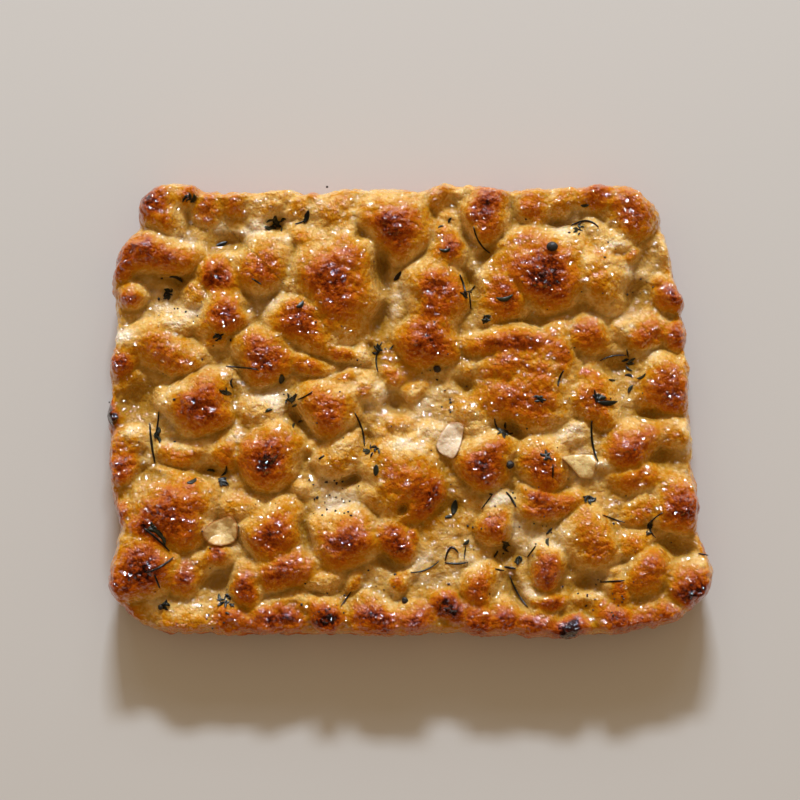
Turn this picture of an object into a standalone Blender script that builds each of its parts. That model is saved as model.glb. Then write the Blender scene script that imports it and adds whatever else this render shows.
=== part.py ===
"""Focaccia: a flat dimpled loaf with three pieces of garlic baked onto its top.

Metres, +Z up. The loaf stands on z = 0 with the middle of its outline over the origin, its long side
along X and its front edge towards -Y. The loaf is a flat slab with rolled edges, and its crust is that
slab pushed out along its own normals by a height field of bubbles and dimples.
"""

import math
from collections import namedtuple

import bpy
import numpy as np
from mathutils import Vector
from mathutils.bvhtree import BVHTree

MM = 0.001

# The loaf
CRUMB_LEVEL = 23 * MM       # top of the bread between its bubbles
SHOULDER_OUT = 4.5 * MM     # how far in from the side the top edge starts to roll down
SHOULDER_DOWN = 8 * MM      # how far down the side wall starts
WALL_DRAFT = 2.5 * MM       # how much the wall leans in towards its foot
FOOT_RADIUS = 3 * MM        # rounding of the lower edge
RIM_PUSH = 0.25             # share of a bubble's height that pushes the side wall out
CELLS_ALONG = 56            # cells of the top grid along X
CELLS_ACROSS = 43           # cells of the top grid along Y
SHOULDER_STEPS = 4
SMOOTHING_SPAN = 45 * MM    # stretch of rim over which its outward direction is averaged

# The bubbles
BLEND = 1.0 * MM            # how softly one bubble runs into the next
CORE_SHARE = 0.75           # share of a bubble's rise in its steep core
CORE_WIDTH = 1.38           # where the core ends, in bubble radii
CORE_POWER = 2.2            # more gives the core a flatter top
CORE_ROUNDNESS = 0.7        # less gives the core steeper flanks
SKIRT_SHARE = 0.3           # share of its rise in the broad skirt round the core
SKIRT_WIDTH = 1.9           # width of the skirt in bubble radii
DIMPLE_SHARPNESS = 1.6
SWELL = 1.0 * MM            # slow rise and fall of the crumb level
WANDER = 1.8 * MM           # how far bubble outlines stray from true ovals

# The garlic
SEAT_GAP = 0.9 * MM         # clear space between a garlic piece and the crust
SEAT_FEELER = 2.0 * MM      # how far round each point of its underside the crust is felt for
GARLIC_RINGS = 3
GARLIC_SECTORS = 18

Bubble = namedtuple("Bubble", "x y across along turn rise")
Dimple = namedtuple("Dimple", "x y across along turn depth")
Garlic = namedtuple("Garlic", "name thickness colour outline")

# The rim seen from above, in millimetres, clockwise from the back left corner.
RIM = [
    (-143, 97), (-140, 112), (-127, 120), (-115, 119), (-109, 115), (-88, 116), (-66, 117), (-48, 115),
    (-32, 118), (-10, 117), (6, 117), (18, 120), (28, 120), (42, 118), (52, 116.5), (70, 118.5),
    (95, 118.5), (115, 118), (127, 111), (134, 103), (135, 95), (139, 82), (144, 60), (147, 40),
    (148.5, 12), (149.5, -18), (152, -42), (153, -63), (158, -80), (158, -94), (149, -104), (137, -112),
    (116, -116), (92, -119), (78, -120), (48, -119), (14, -118), (-20, -119), (-60, -119), (-100, -118),
    (-130, -117.5), (-145, -110), (-155, -96), (-154.5, -76), (-152, -61), (-156.5, -46), (-158.5, -18),
    (-158, 6), (-158, 28), (-156, 36), (-156, 54), (-157, 70), (-152, 84), (-147, 91),
]

# Bubbles, in millimetres and degrees: place, width, length, turn, and height over the crumb level.
BUBBLES = [
    # along the back edge
    Bubble(-132, 107, 26, 28, 0, 13), Bubble(-118, 115, 17, 14, 0, 9), Bubble(-105, 108, 15, 18, 0, 7),
    Bubble(-92, 111, 19, 15, 0, 8), Bubble(-73, 110, 22, 18, 0, 9), Bubble(-57, 104, 13, 14, 0, 7),
    Bubble(-51, 112, 11, 11, 0, 6), Bubble(-38, 103, 25, 27, 0, 10), Bubble(-8, 98, 33, 33, 0, 15),
    Bubble(-21, 89, 13, 14, 0, 8), Bubble(4, 112, 13, 13, 0, 6), Bubble(17, 112, 15, 19, 0, 8),
    Bubble(42, 105, 20, 28, 0, 14), Bubble(67, 109, 20, 20, 0, 9), Bubble(82, 110, 14, 20, 0, 7),
    Bubble(99, 112, 24, 18, 0, 9), Bubble(119, 106, 27, 27, 0, 12), Bubble(105, 90, 22, 15, -15, 8),
    Bubble(24, 99, 14, 10, 0, 5), Bubble(-54, 88, 22, 13, -20, 8), Bubble(-78, 99, 12, 13, 0, 6),
    # back left
    Bubble(-133, 82, 42, 18, -4, 12), Bubble(-149, 80, 18, 20, 0, 10), Bubble(-146, 60, 15, 14, 0, 9),
    Bubble(-99, 68, 21, 20, 0, 10), Bubble(-114, 61, 12, 14, 0, 7), Bubble(-97, 50, 24, 22, 0, 12),
    Bubble(-122, 46, 22, 13, 10, 6), Bubble(-76, 78, 27, 27, 0, 12), Bubble(-38, 70, 37, 48, 0, 17),
    Bubble(-61, 62, 18, 13, -20, 8), Bubble(-56, 45, 34, 22, -25, 12), Bubble(-39, 31, 26, 9, -30, 8),
    # back right
    Bubble(19, 83, 18, 22, 0, 11), Bubble(14, 62, 28, 30, 0, 14), Bubble(11, 38, 27, 26, 0, 13),
    Bubble(72, 74, 46, 36, -5, 15), Bubble(57, 86, 24, 13, 12, 10), Bubble(49, 60, 27, 27, 0, 12),
    Bubble(101, 69, 28, 30, 0, 12), Bubble(137, 60, 17, 15, 0, 8), Bubble(138, 79, 12, 20, 15, 6),
    Bubble(13, 50, 24, 24, 0, 13), Bubble(-36, 48, 28, 26, 0, 9),
    # middle left
    Bubble(-128, 31, 38, 20, -12, 10), Bubble(-113, 27, 13, 13, 0, 7), Bubble(-152, 27, 13, 13, 0, 6),
    Bubble(-109, 3, 29, 26, 0, 14), Bubble(-124, 3, 13, 14, 0, 7), Bubble(-98, 14, 13, 10, 0, 6),
    Bubble(-76, 30, 28, 25, -10, 12), Bubble(-100, 36, 12, 12, 0, 6), Bubble(-54, 23, 24, 11, -15, 7),
    Bubble(-77, -1, 20, 17, 0, 7), Bubble(-72, -25, 28, 28, 0, 14), Bubble(-96, -25, 15, 16, 0, 7),
    Bubble(-149, -18, 18, 14, 0, 6), Bubble(-149, -30, 15, 14, 0, 7), Bubble(-117, -22, 24, 12, 0, 6),
    # middle
    Bubble(-42, 1, 29, 24, 10, 13), Bubble(-35, 14, 17, 10, 0, 7), Bubble(-24, 9, 13, 13, 0, 8),
    Bubble(-26, 26, 16, 10, 0, 5), Bubble(-34, -24, 25, 22, 0, 10), Bubble(-8, -9, 15, 13, 0, 7),
    Bubble(34, -3, 14, 19, 0, 7), Bubble(-4, -36, 33, 38, 0, 13), Bubble(-17, -46, 20, 15, 0, 8),
    Bubble(8, -15, 18, 12, 0, 5), Bubble(41, -27, 25, 27, 0, 13),
    # middle right
    Bubble(62, 8, 46, 36, 0, 11), Bubble(58, 34, 46, 17, -3, 13), Bubble(79, 32, 16, 26, 0, 11),
    Bubble(98, 4, 24, 24, 0, 10), Bubble(136, 12, 25, 24, 0, 10), Bubble(128, 39, 20, 15, 0, 8),
    Bubble(143, 38, 12, 17, 0, 7), Bubble(94, 38, 20, 16, 0, 8), Bubble(118, 45, 20, 12, 10, 5),
    Bubble(117, -18, 27, 23, 0, 11), Bubble(138, -13, 19, 15, 0, 7), Bubble(120, -37, 26, 14, 0, 8),
    Bubble(70, -28, 25, 23, 0, 11), Bubble(72, -50, 32, 14, 0, 8), Bubble(84, -14, 17, 11, 0, 6),
    Bubble(60, 22, 46, 22, 0, 11.5),
    # front left
    Bubble(-123, -52, 36, 32, -25, 14), Bubble(-140, -82, 35, 31, 0, 13), Bubble(-149, -55, 15, 14, 0, 7),
    Bubble(-116, -86, 20, 20, 0, 8), Bubble(-102, -79, 13, 13, 0, 8), Bubble(-84, -90, 16, 19, 0, 8),
    Bubble(-118, -109, 27, 16, 0, 6), Bubble(-86, -51, 22, 14, 10, 7), Bubble(-70, -64, 27, 27, 0, 12),
    Bubble(-64, -83, 29, 20, 0, 9), Bubble(-70, -110, 28, 18, 0, 6), Bubble(-43, -107, 16, 15, 0, 9),
    Bubble(-134, -66, 24, 20, 0, 11), Bubble(-95, -111, 20, 16, 0, 5.5),
    # front
    Bubble(-33, -68, 33, 27, 0, 12), Bubble(-8, -67, 18, 23, 0, 9), Bubble(7, -48, 16, 20, 0, 9),
    Bubble(-44, -89, 18, 12, 0, 6), Bubble(-18, -109, 30, 19, 0, 7), Bubble(20, -105, 15, 14, 0, 7),
    Bubble(35, -109, 18, 17, 0, 7), Bubble(38, -92, 16, 20, 0, 8), Bubble(46, -61, 17, 18, 0, 9),
    Bubble(46, -49, 14, 10, 0, 5), Bubble(50, -110, 17, 18, 0, 6.5), Bubble(1, -110, 20, 18, 0, 7),
    Bubble(65, -111, 18, 17, 0, 6.5), Bubble(110, -110, 24, 17, 0, 6.5),
    # front right
    Bubble(72, -81, 16, 19, 0, 11), Bubble(95, -69, 25, 25, 0, 11), Bubble(117, -70, 20, 15, 0, 7),
    Bubble(123, -52, 17, 14, 0, 7), Bubble(141, -50, 27, 26, 0, 11), Bubble(124, -86, 23, 20, 0, 10),
    Bubble(110, -93, 13, 14, 0, 7), Bubble(72, -99, 20, 10, 0, 6), Bubble(82, -114, 22, 13, 0, 7),
    Bubble(97, -101, 17, 9, 0, 4), Bubble(132, -107, 28, 17, 0, 6), Bubble(148, -90, 24, 25, 0, 10),
]

# Dimples left by fingertips and by bubbles that fell in, in the same units.
DIMPLES = [
    Dimple(-97, 86, 20, 13, 0, 6), Dimple(-120, 68, 16, 10, 0, 4), Dimple(-14, 72, 11, 28, -8, 7),
    Dimple(81, 99, 12, 8, 0, 5), Dimple(118, 60, 17, 17, 0, 7), Dimple(33, 66, 9, 16, 0, 5),
    Dimple(-69, 95, 13, 10, 0, 4), Dimple(-6, 4, 13, 13, 0, 6), Dimple(30, 12, 15, 8, -15, 5),
    Dimple(52, -12, 15, 12, -30, 7), Dimple(109, 23, 18, 17, 0, 7), Dimple(127, -3, 16, 10, 0, 5),
    Dimple(135, -28, 15, 12, 0, 5), Dimple(-142, 3, 24, 24, 0, 6), Dimple(-133, -36, 24, 12, 0, 5),
    Dimple(-103, -35, 17, 9, 0, 5), Dimple(-61, -8, 10, 15, 0, 6), Dimple(-31, -39, 16, 6, 0, 6),
    Dimple(-54, -66, 8, 16, 0, 6), Dimple(-3, -51, 9, 9, 0, 7), Dimple(-11, -80, 18, 9, 0, 6),
    Dimple(-98, -93, 13, 14, 0, 5), Dimple(48, -79, 15, 13, 0, 7), Dimple(57, -97, 8, 20, 32, 4),
    Dimple(95, -93, 17, 12, 0, 6), Dimple(138, -74, 20, 12, 0, 5), Dimple(21, -54, 13, 13, 0, 4),
    Dimple(-15, 47, 10, 28, 8, 6), Dimple(-22, -18, 10, 14, 0, 5),
]

# Garlic, in millimetres: outlines seen from above, each closed by a smooth curve through its points.
GARLIC = [
    Garlic("garlic_chip", 3.0, (0.86, 0.68, 0.40, 1.0),
           [(82, -27), (88, -25), (97, -25), (99.5, -30), (98, -37), (92, -36), (86, -32)]),
    Garlic("garlic_slice", 1.8, (0.84, 0.66, 0.50, 1.0),
           [(15, -20), (19, -11), (24, -8), (29, -8.5), (26, -16), (24, -25), (20, -27), (16, -25)]),
    Garlic("garlic_curl", 2.2, (0.70, 0.42, 0.16, 1.0),
           [(-107, -66), (-104, -61), (-98, -58), (-92, -57), (-89, -63), (-91, -70), (-99, -72),
            (-105, -70)]),
]

CRUST_COLOUR = (0.45, 0.19, 0.045, 1.0)


def clear_scene():
    """Remove whatever the file holds, so that the loaf is all there is."""
    for old in list(bpy.data.objects):
        bpy.data.objects.remove(old)


def material(name, colour, roughness):
    """A Principled material of one colour."""
    made = bpy.data.materials.new(name)
    made.use_nodes = True
    shader = made.node_tree.nodes["Principled BSDF"]
    shader.inputs["Base Color"].default_value = colour
    shader.inputs["Roughness"].default_value = roughness
    shader.inputs["Metallic"].default_value = 0.0
    return made


def closed_curve(points, steps=16):
    """A closed Catmull-Rom curve through the points, steps places to a span, as an (n, 2) array."""
    knots = np.array(points, float)
    before, after, beyond = np.roll(knots, 1, 0), np.roll(knots, -1, 0), np.roll(knots, -2, 0)
    t = (np.arange(steps) / steps)[None, :, None]
    a, b, c, d = (p[:, None, :] for p in (before, knots, after, beyond))
    curve = 0.5 * (2 * b + (c - a) * t + (2 * a - 5 * b + 4 * c - d) * t**2
                   + (3 * b - a - 3 * c + d) * t**3)
    return curve.reshape(-1, 2)


def along_curve(curve, shares):
    """Places on a closed curve at the given shares of its length."""
    loop = np.vstack([curve, curve[:1]])
    length = np.concatenate([[0.0], np.cumsum(np.linalg.norm(np.diff(loop, axis=0), axis=1))])
    length /= length[-1]
    shares = np.mod(shares, 1.0)
    return np.column_stack([np.interp(shares, length, loop[:, k]) for k in (0, 1)])


def rim_places(count_along, count_across):
    """The rim, counter-clockwise from the front left corner, evenly spaced along each of its sides."""
    curve = closed_curve(RIM)[::-1] * MM
    dense = along_curve(curve, np.arange(2000) / 2000)
    half = np.abs(dense).max(axis=0)
    angle = np.arctan2(dense[:, 1] / half[1], dense[:, 0] / half[0])
    corners = [np.abs(angle - math.radians(a)).argmin() / 2000 for a in (-135, -45, 45, 135)]
    counts = [count_along, count_across, count_along, count_across]
    shares = []
    for side, count in enumerate(counts):
        start = corners[side]
        span = (corners[(side + 1) % 4] - start) % 1.0
        shares.append(start + span * np.arange(count) / count)
    return along_curve(curve, np.concatenate(shares))


def outward(rim):
    """The unit direction out of the rim in plan, averaged along a stretch so that it turns slowly."""
    step = np.linalg.norm(np.diff(rim, axis=0), axis=1).mean()
    reach = int(SMOOTHING_SPAN / 2 / step)
    tangent = np.roll(rim, -1, 0) - np.roll(rim, 1, 0)
    tangent = sum(np.roll(tangent, k, 0) for k in range(-reach, reach + 1))
    normal = np.column_stack([tangent[:, 1], -tangent[:, 0]])
    return normal / np.linalg.norm(normal, axis=1, keepdims=True)


def oval_radius(x, y, oval):
    """Distance from an oval's middle in units of its own radius, 1 on its outline. Millimetres."""
    turn = math.radians(oval.turn)
    u = (x - oval.x) * math.cos(turn) + (y - oval.y) * math.sin(turn)
    v = (y - oval.y) * math.cos(turn) - (x - oval.x) * math.sin(turn)
    return np.hypot(u / (oval.across / 2), v / (oval.along / 2))


def crust_relief(x, y):
    """Height of the crust over the crumb level, in metres, for places in metres.

    Each bubble is a steep core on a broad skirt. With r the oval radius, the core is a cap, 1 less a
    power of r, raised to a power under 1, and the skirt is a bell. All bubbles and the slow swell of the
    crumb are joined by a soft maximum, the logarithm of a sum of exponentials, and each dimple takes
    away a bell. The places are first shifted by slow waves, so no bubble is a true oval.
    """
    x, y = x / MM, y / MM
    wander = WANDER / MM
    wave_x = x + wander * (np.sin(y / 5.3 + 0.7) + 0.6 * np.sin(x / 7.9 + y / 9.7))
    wave_y = y + wander * (np.sin(x / 6.1 + 2.1) + 0.6 * np.sin(y / 8.3 - x / 11.9))
    swell = SWELL / MM * (np.sin(x / 13.0 + 1.0) * np.sin(y / 11.0) + 0.5 * np.sin(x / 7.0 - y / 6.0))
    blend = BLEND / MM
    total = np.exp(swell / blend)
    for bubble in BUBBLES:
        radius = oval_radius(wave_x, wave_y, bubble)
        cap = np.clip(1 - (radius / CORE_WIDTH) ** CORE_POWER, 0, 1)
        core = CORE_SHARE * cap**CORE_ROUNDNESS
        skirt = SKIRT_SHARE * np.exp(-((radius / SKIRT_WIDTH) ** 2))
        total += np.exp(bubble.rise * (core + skirt) / blend) - 1
    relief = blend * np.log(total)
    for dimple in DIMPLES:
        radius = oval_radius(wave_x, wave_y, dimple)
        relief -= dimple.depth * np.exp(-DIMPLE_SHARPNESS * radius**2)
    return relief * MM


def top_grid(border):
    """Plan places of the top grid: the border scaled towards the middle, ring by square ring."""
    u, v = np.meshgrid(np.linspace(-1, 1, CELLS_ALONG + 1), np.linspace(-1, 1, CELLS_ACROSS + 1))
    size = np.maximum(np.maximum(np.abs(u), np.abs(v)), 1e-9)
    along, across = (u / size + 1) / 2 * CELLS_ALONG, (v / size + 1) / 2 * CELLS_ACROSS
    on_front, on_right, on_back = v <= -size, u >= size, v >= size
    place = np.select(
        [on_front, on_right, on_back],
        [along, CELLS_ALONG + across, 2 * CELLS_ALONG + CELLS_ACROSS - along],
        2 * (CELLS_ALONG + CELLS_ACROSS) - across)
    index = np.arange(len(border))
    plan = [np.interp(place, index, border[:, k], period=len(border)) for k in (0, 1)]
    return plan[0] * size, plan[1] * size


def side_profile():
    """Steps down the side: how far out of the border, height, share of the relief, and which way it pushes.

    The shoulder is a quarter of an ellipse, the wall leans in, and the foot is a quarter of a circle.
    """
    steps = []
    for k in range(1, SHOULDER_STEPS + 1):
        angle = math.pi / 2 * k / SHOULDER_STEPS
        height = CRUMB_LEVEL - SHOULDER_DOWN * (1 - math.cos(angle))
        steps.append((SHOULDER_OUT * math.sin(angle), height, 1.0, angle))
    wall_top = CRUMB_LEVEL - SHOULDER_DOWN
    for share, keep in ((0.5, 0.6), (1.0, 0.2)):
        height = wall_top + (FOOT_RADIUS - wall_top) * share
        steps.append((SHOULDER_OUT - WALL_DRAFT * share, height, keep, math.pi / 2))
    foot = SHOULDER_OUT - WALL_DRAFT - FOOT_RADIUS
    for angle in (math.pi / 4, math.pi / 2):
        out = foot + FOOT_RADIUS * math.cos(angle)
        steps.append((out, FOOT_RADIUS * (1 - math.sin(angle)), 0.0, math.pi / 2))
    return steps


def build_loaf():
    """The loaf: a grid over the top, rings down the shoulder, wall and foot, and a flat base."""
    rim = rim_places(CELLS_ALONG, CELLS_ACROSS)
    out = outward(rim)
    border = rim - out * SHOULDER_OUT
    x, y = top_grid(border)
    top = np.dstack([x, y, CRUMB_LEVEL + crust_relief(x, y)]).reshape(-1, 3)

    count = len(rim)
    rings = []
    for reach, height, share, angle in side_profile():
        plan = border + out * reach
        relief = crust_relief(plan[:, 0], plan[:, 1]) * share
        plan = plan + out * (relief * RIM_PUSH * math.sin(angle))[:, None]
        rings.append(np.column_stack([plan, height + relief * math.cos(angle)]))
    vertices = np.vstack([top] + rings + [np.zeros((1, 3))])

    number = np.arange(len(top)).reshape(CELLS_ACROSS + 1, CELLS_ALONG + 1)
    corners = [number[:-1, :-1], number[:-1, 1:], number[1:, 1:], number[1:, :-1]]
    faces = np.stack(corners, axis=-1).reshape(-1, 4).tolist()
    edge = np.concatenate([number[0, :-1], number[:-1, -1], number[-1, :0:-1], number[:0:-1, 0]])
    for k in range(len(rings)):
        lower = len(top) + k * count + np.arange(count)
        faces += np.column_stack([edge, lower, np.roll(lower, -1), np.roll(edge, -1)]).tolist()
        edge = lower
    middle = np.full(count, len(vertices) - 1)
    faces += np.column_stack([np.roll(edge, -1), edge, middle]).tolist()
    return add_solid("loaf", vertices, faces, material("crust", CRUST_COLOUR, 0.45))


def seat_heights(loaf, plan):
    """Height of the loaf's facets under each place: the highest found there or a feeler's length away."""
    mesh = loaf.data
    tree = BVHTree.FromPolygons([v.co for v in mesh.vertices], [p.vertices for p in mesh.polygons])
    down = Vector((0, 0, -1))
    feelers = [(0, 0), (1, 0), (-1, 0), (0, 1), (0, -1)]
    heights = []
    for x, y in plan:
        starts = [Vector((x + a * SEAT_FEELER, y + b * SEAT_FEELER, 1)) for a, b in feelers]
        heights.append(max(tree.ray_cast(start, down)[0].z for start in starts))
    return np.array(heights)


def build_garlic(garlic, loaf):
    """A piece of garlic: a plate that lies along the crust, thickest in the middle, with a rounded edge."""
    outline = along_curve(closed_curve(garlic.outline) * MM, np.arange(GARLIC_SECTORS) / GARLIC_SECTORS)
    if np.cross(outline[1] - outline[0], outline[2] - outline[1]) < 0:
        outline = outline[::-1]
    middle = outline.mean(axis=0)
    thickness = garlic.thickness * MM
    plan = [middle[None, :]]
    depth = [np.ones(1)]
    for k in range(1, GARLIC_RINGS + 1):
        size = k / GARLIC_RINGS
        plan.append(middle + (outline - middle) * size)
        depth.append(np.full(GARLIC_SECTORS, 1 - 0.45 * size**3))
    plan = np.vstack(plan)
    seat = seat_heights(loaf, plan) + SEAT_GAP
    upper = np.column_stack([plan, seat + thickness * np.concatenate(depth)])
    lower = np.column_stack([plan, seat])
    vertices = np.vstack([upper, lower])

    def ring(k, side):
        return side * len(plan) + 1 + k * GARLIC_SECTORS + np.arange(GARLIC_SECTORS)

    faces = []
    for side in (0, 1):
        first = ring(0, side)
        fan = np.column_stack([np.full(GARLIC_SECTORS, side * len(plan)), first, np.roll(first, -1)])
        faces += (fan[:, ::-1] if side else fan).tolist()
        for k in range(GARLIC_RINGS - 1):
            inner, outer = ring(k, side), ring(k + 1, side)
            band = np.column_stack([inner, outer, np.roll(outer, -1), np.roll(inner, -1)])
            faces += (band[:, ::-1] if side else band).tolist()
    above, below = ring(GARLIC_RINGS - 1, 0), ring(GARLIC_RINGS - 1, 1)
    faces += np.column_stack([above, below, np.roll(below, -1), np.roll(above, -1)]).tolist()
    return add_solid(garlic.name, vertices, faces, material(garlic.name, garlic.colour, 0.4))


def add_solid(name, vertices, faces, surface):
    """Put a closed mesh into the scene under its node's name."""
    mesh = bpy.data.meshes.new(name)
    mesh.from_pydata(vertices.tolist(), [], faces)
    mesh.validate()
    mesh.materials.append(surface)
    mesh.shade_smooth()
    solid = bpy.data.objects.new(name, mesh)
    bpy.context.collection.objects.link(solid)
    return solid


def main():
    clear_scene()
    loaf = build_loaf()
    for garlic in GARLIC:
        build_garlic(garlic, loaf)


main()
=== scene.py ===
"""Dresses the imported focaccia: its blistered oily crust, the garlic baked onto it, the herbs and the pepper.

Laid out as a Blender add-on and run as a script. Lengths are metres unless a name or a comment says
millimetres. The loaf lies with its long side along X and its front edge towards -Y.
"""

import math
from collections import namedtuple

import bpy
import numpy as np
from bpy.props import FloatProperty, FloatVectorProperty, IntProperty, PointerProperty
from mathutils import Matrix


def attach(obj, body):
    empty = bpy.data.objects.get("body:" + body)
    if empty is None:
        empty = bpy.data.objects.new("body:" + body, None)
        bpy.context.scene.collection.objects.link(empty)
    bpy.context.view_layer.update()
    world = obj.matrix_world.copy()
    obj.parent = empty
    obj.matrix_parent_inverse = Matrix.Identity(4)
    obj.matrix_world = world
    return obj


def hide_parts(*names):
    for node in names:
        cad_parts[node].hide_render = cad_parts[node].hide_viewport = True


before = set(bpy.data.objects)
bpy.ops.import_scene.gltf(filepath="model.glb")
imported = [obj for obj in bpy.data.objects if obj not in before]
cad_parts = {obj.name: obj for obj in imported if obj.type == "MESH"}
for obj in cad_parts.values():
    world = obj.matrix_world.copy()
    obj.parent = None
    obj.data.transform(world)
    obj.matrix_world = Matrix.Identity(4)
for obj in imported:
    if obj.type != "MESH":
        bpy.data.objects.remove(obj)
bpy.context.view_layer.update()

bl_info = {
    "name": "Focaccia Dressing",
    "version": (1, 0, 0),
    "blender": (4, 5, 0),
    "location": "3D View > Sidebar > Focaccia",
    "description": "Crust, garlic, herbs and pepper for a dimpled focaccia",
    "category": "Add Mesh",
}

MM = 0.001

Bubble = namedtuple("Bubble", "x y across along rise toast turn", defaults=(0,))
Dimple = namedtuple("Dimple", "x y across along depth turn", defaults=(0,))
Patch = namedtuple("Patch", "x y across along change turn", defaults=(0,))

# The rim seen from above, in millimetres, clockwise from the back left corner, as the loaf's solid has it.
RIM = [
    (-143, 97), (-140, 112), (-127, 120), (-115, 119), (-109, 115), (-88, 116), (-66, 117), (-48, 115),
    (-32, 118), (-10, 117), (6, 117), (18, 120), (28, 120), (42, 118), (52, 116.5), (70, 118.5),
    (95, 118.5), (115, 118), (127, 111), (134, 103), (135, 95), (139, 82), (144, 60), (147, 40),
    (148.5, 12), (149.5, -18), (152, -42), (153, -63), (158, -80), (158, -94), (149, -104), (137, -112),
    (116, -116), (92, -119), (78, -120), (48, -119), (14, -118), (-20, -119), (-60, -119), (-100, -118),
    (-130, -117.5), (-145, -110), (-155, -96), (-154.5, -76), (-152, -61), (-156.5, -46), (-158.5, -18),
    (-158, 6), (-158, 28), (-156, 36), (-156, 54), (-157, 70), (-152, 84), (-147, 91),
]

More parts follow.
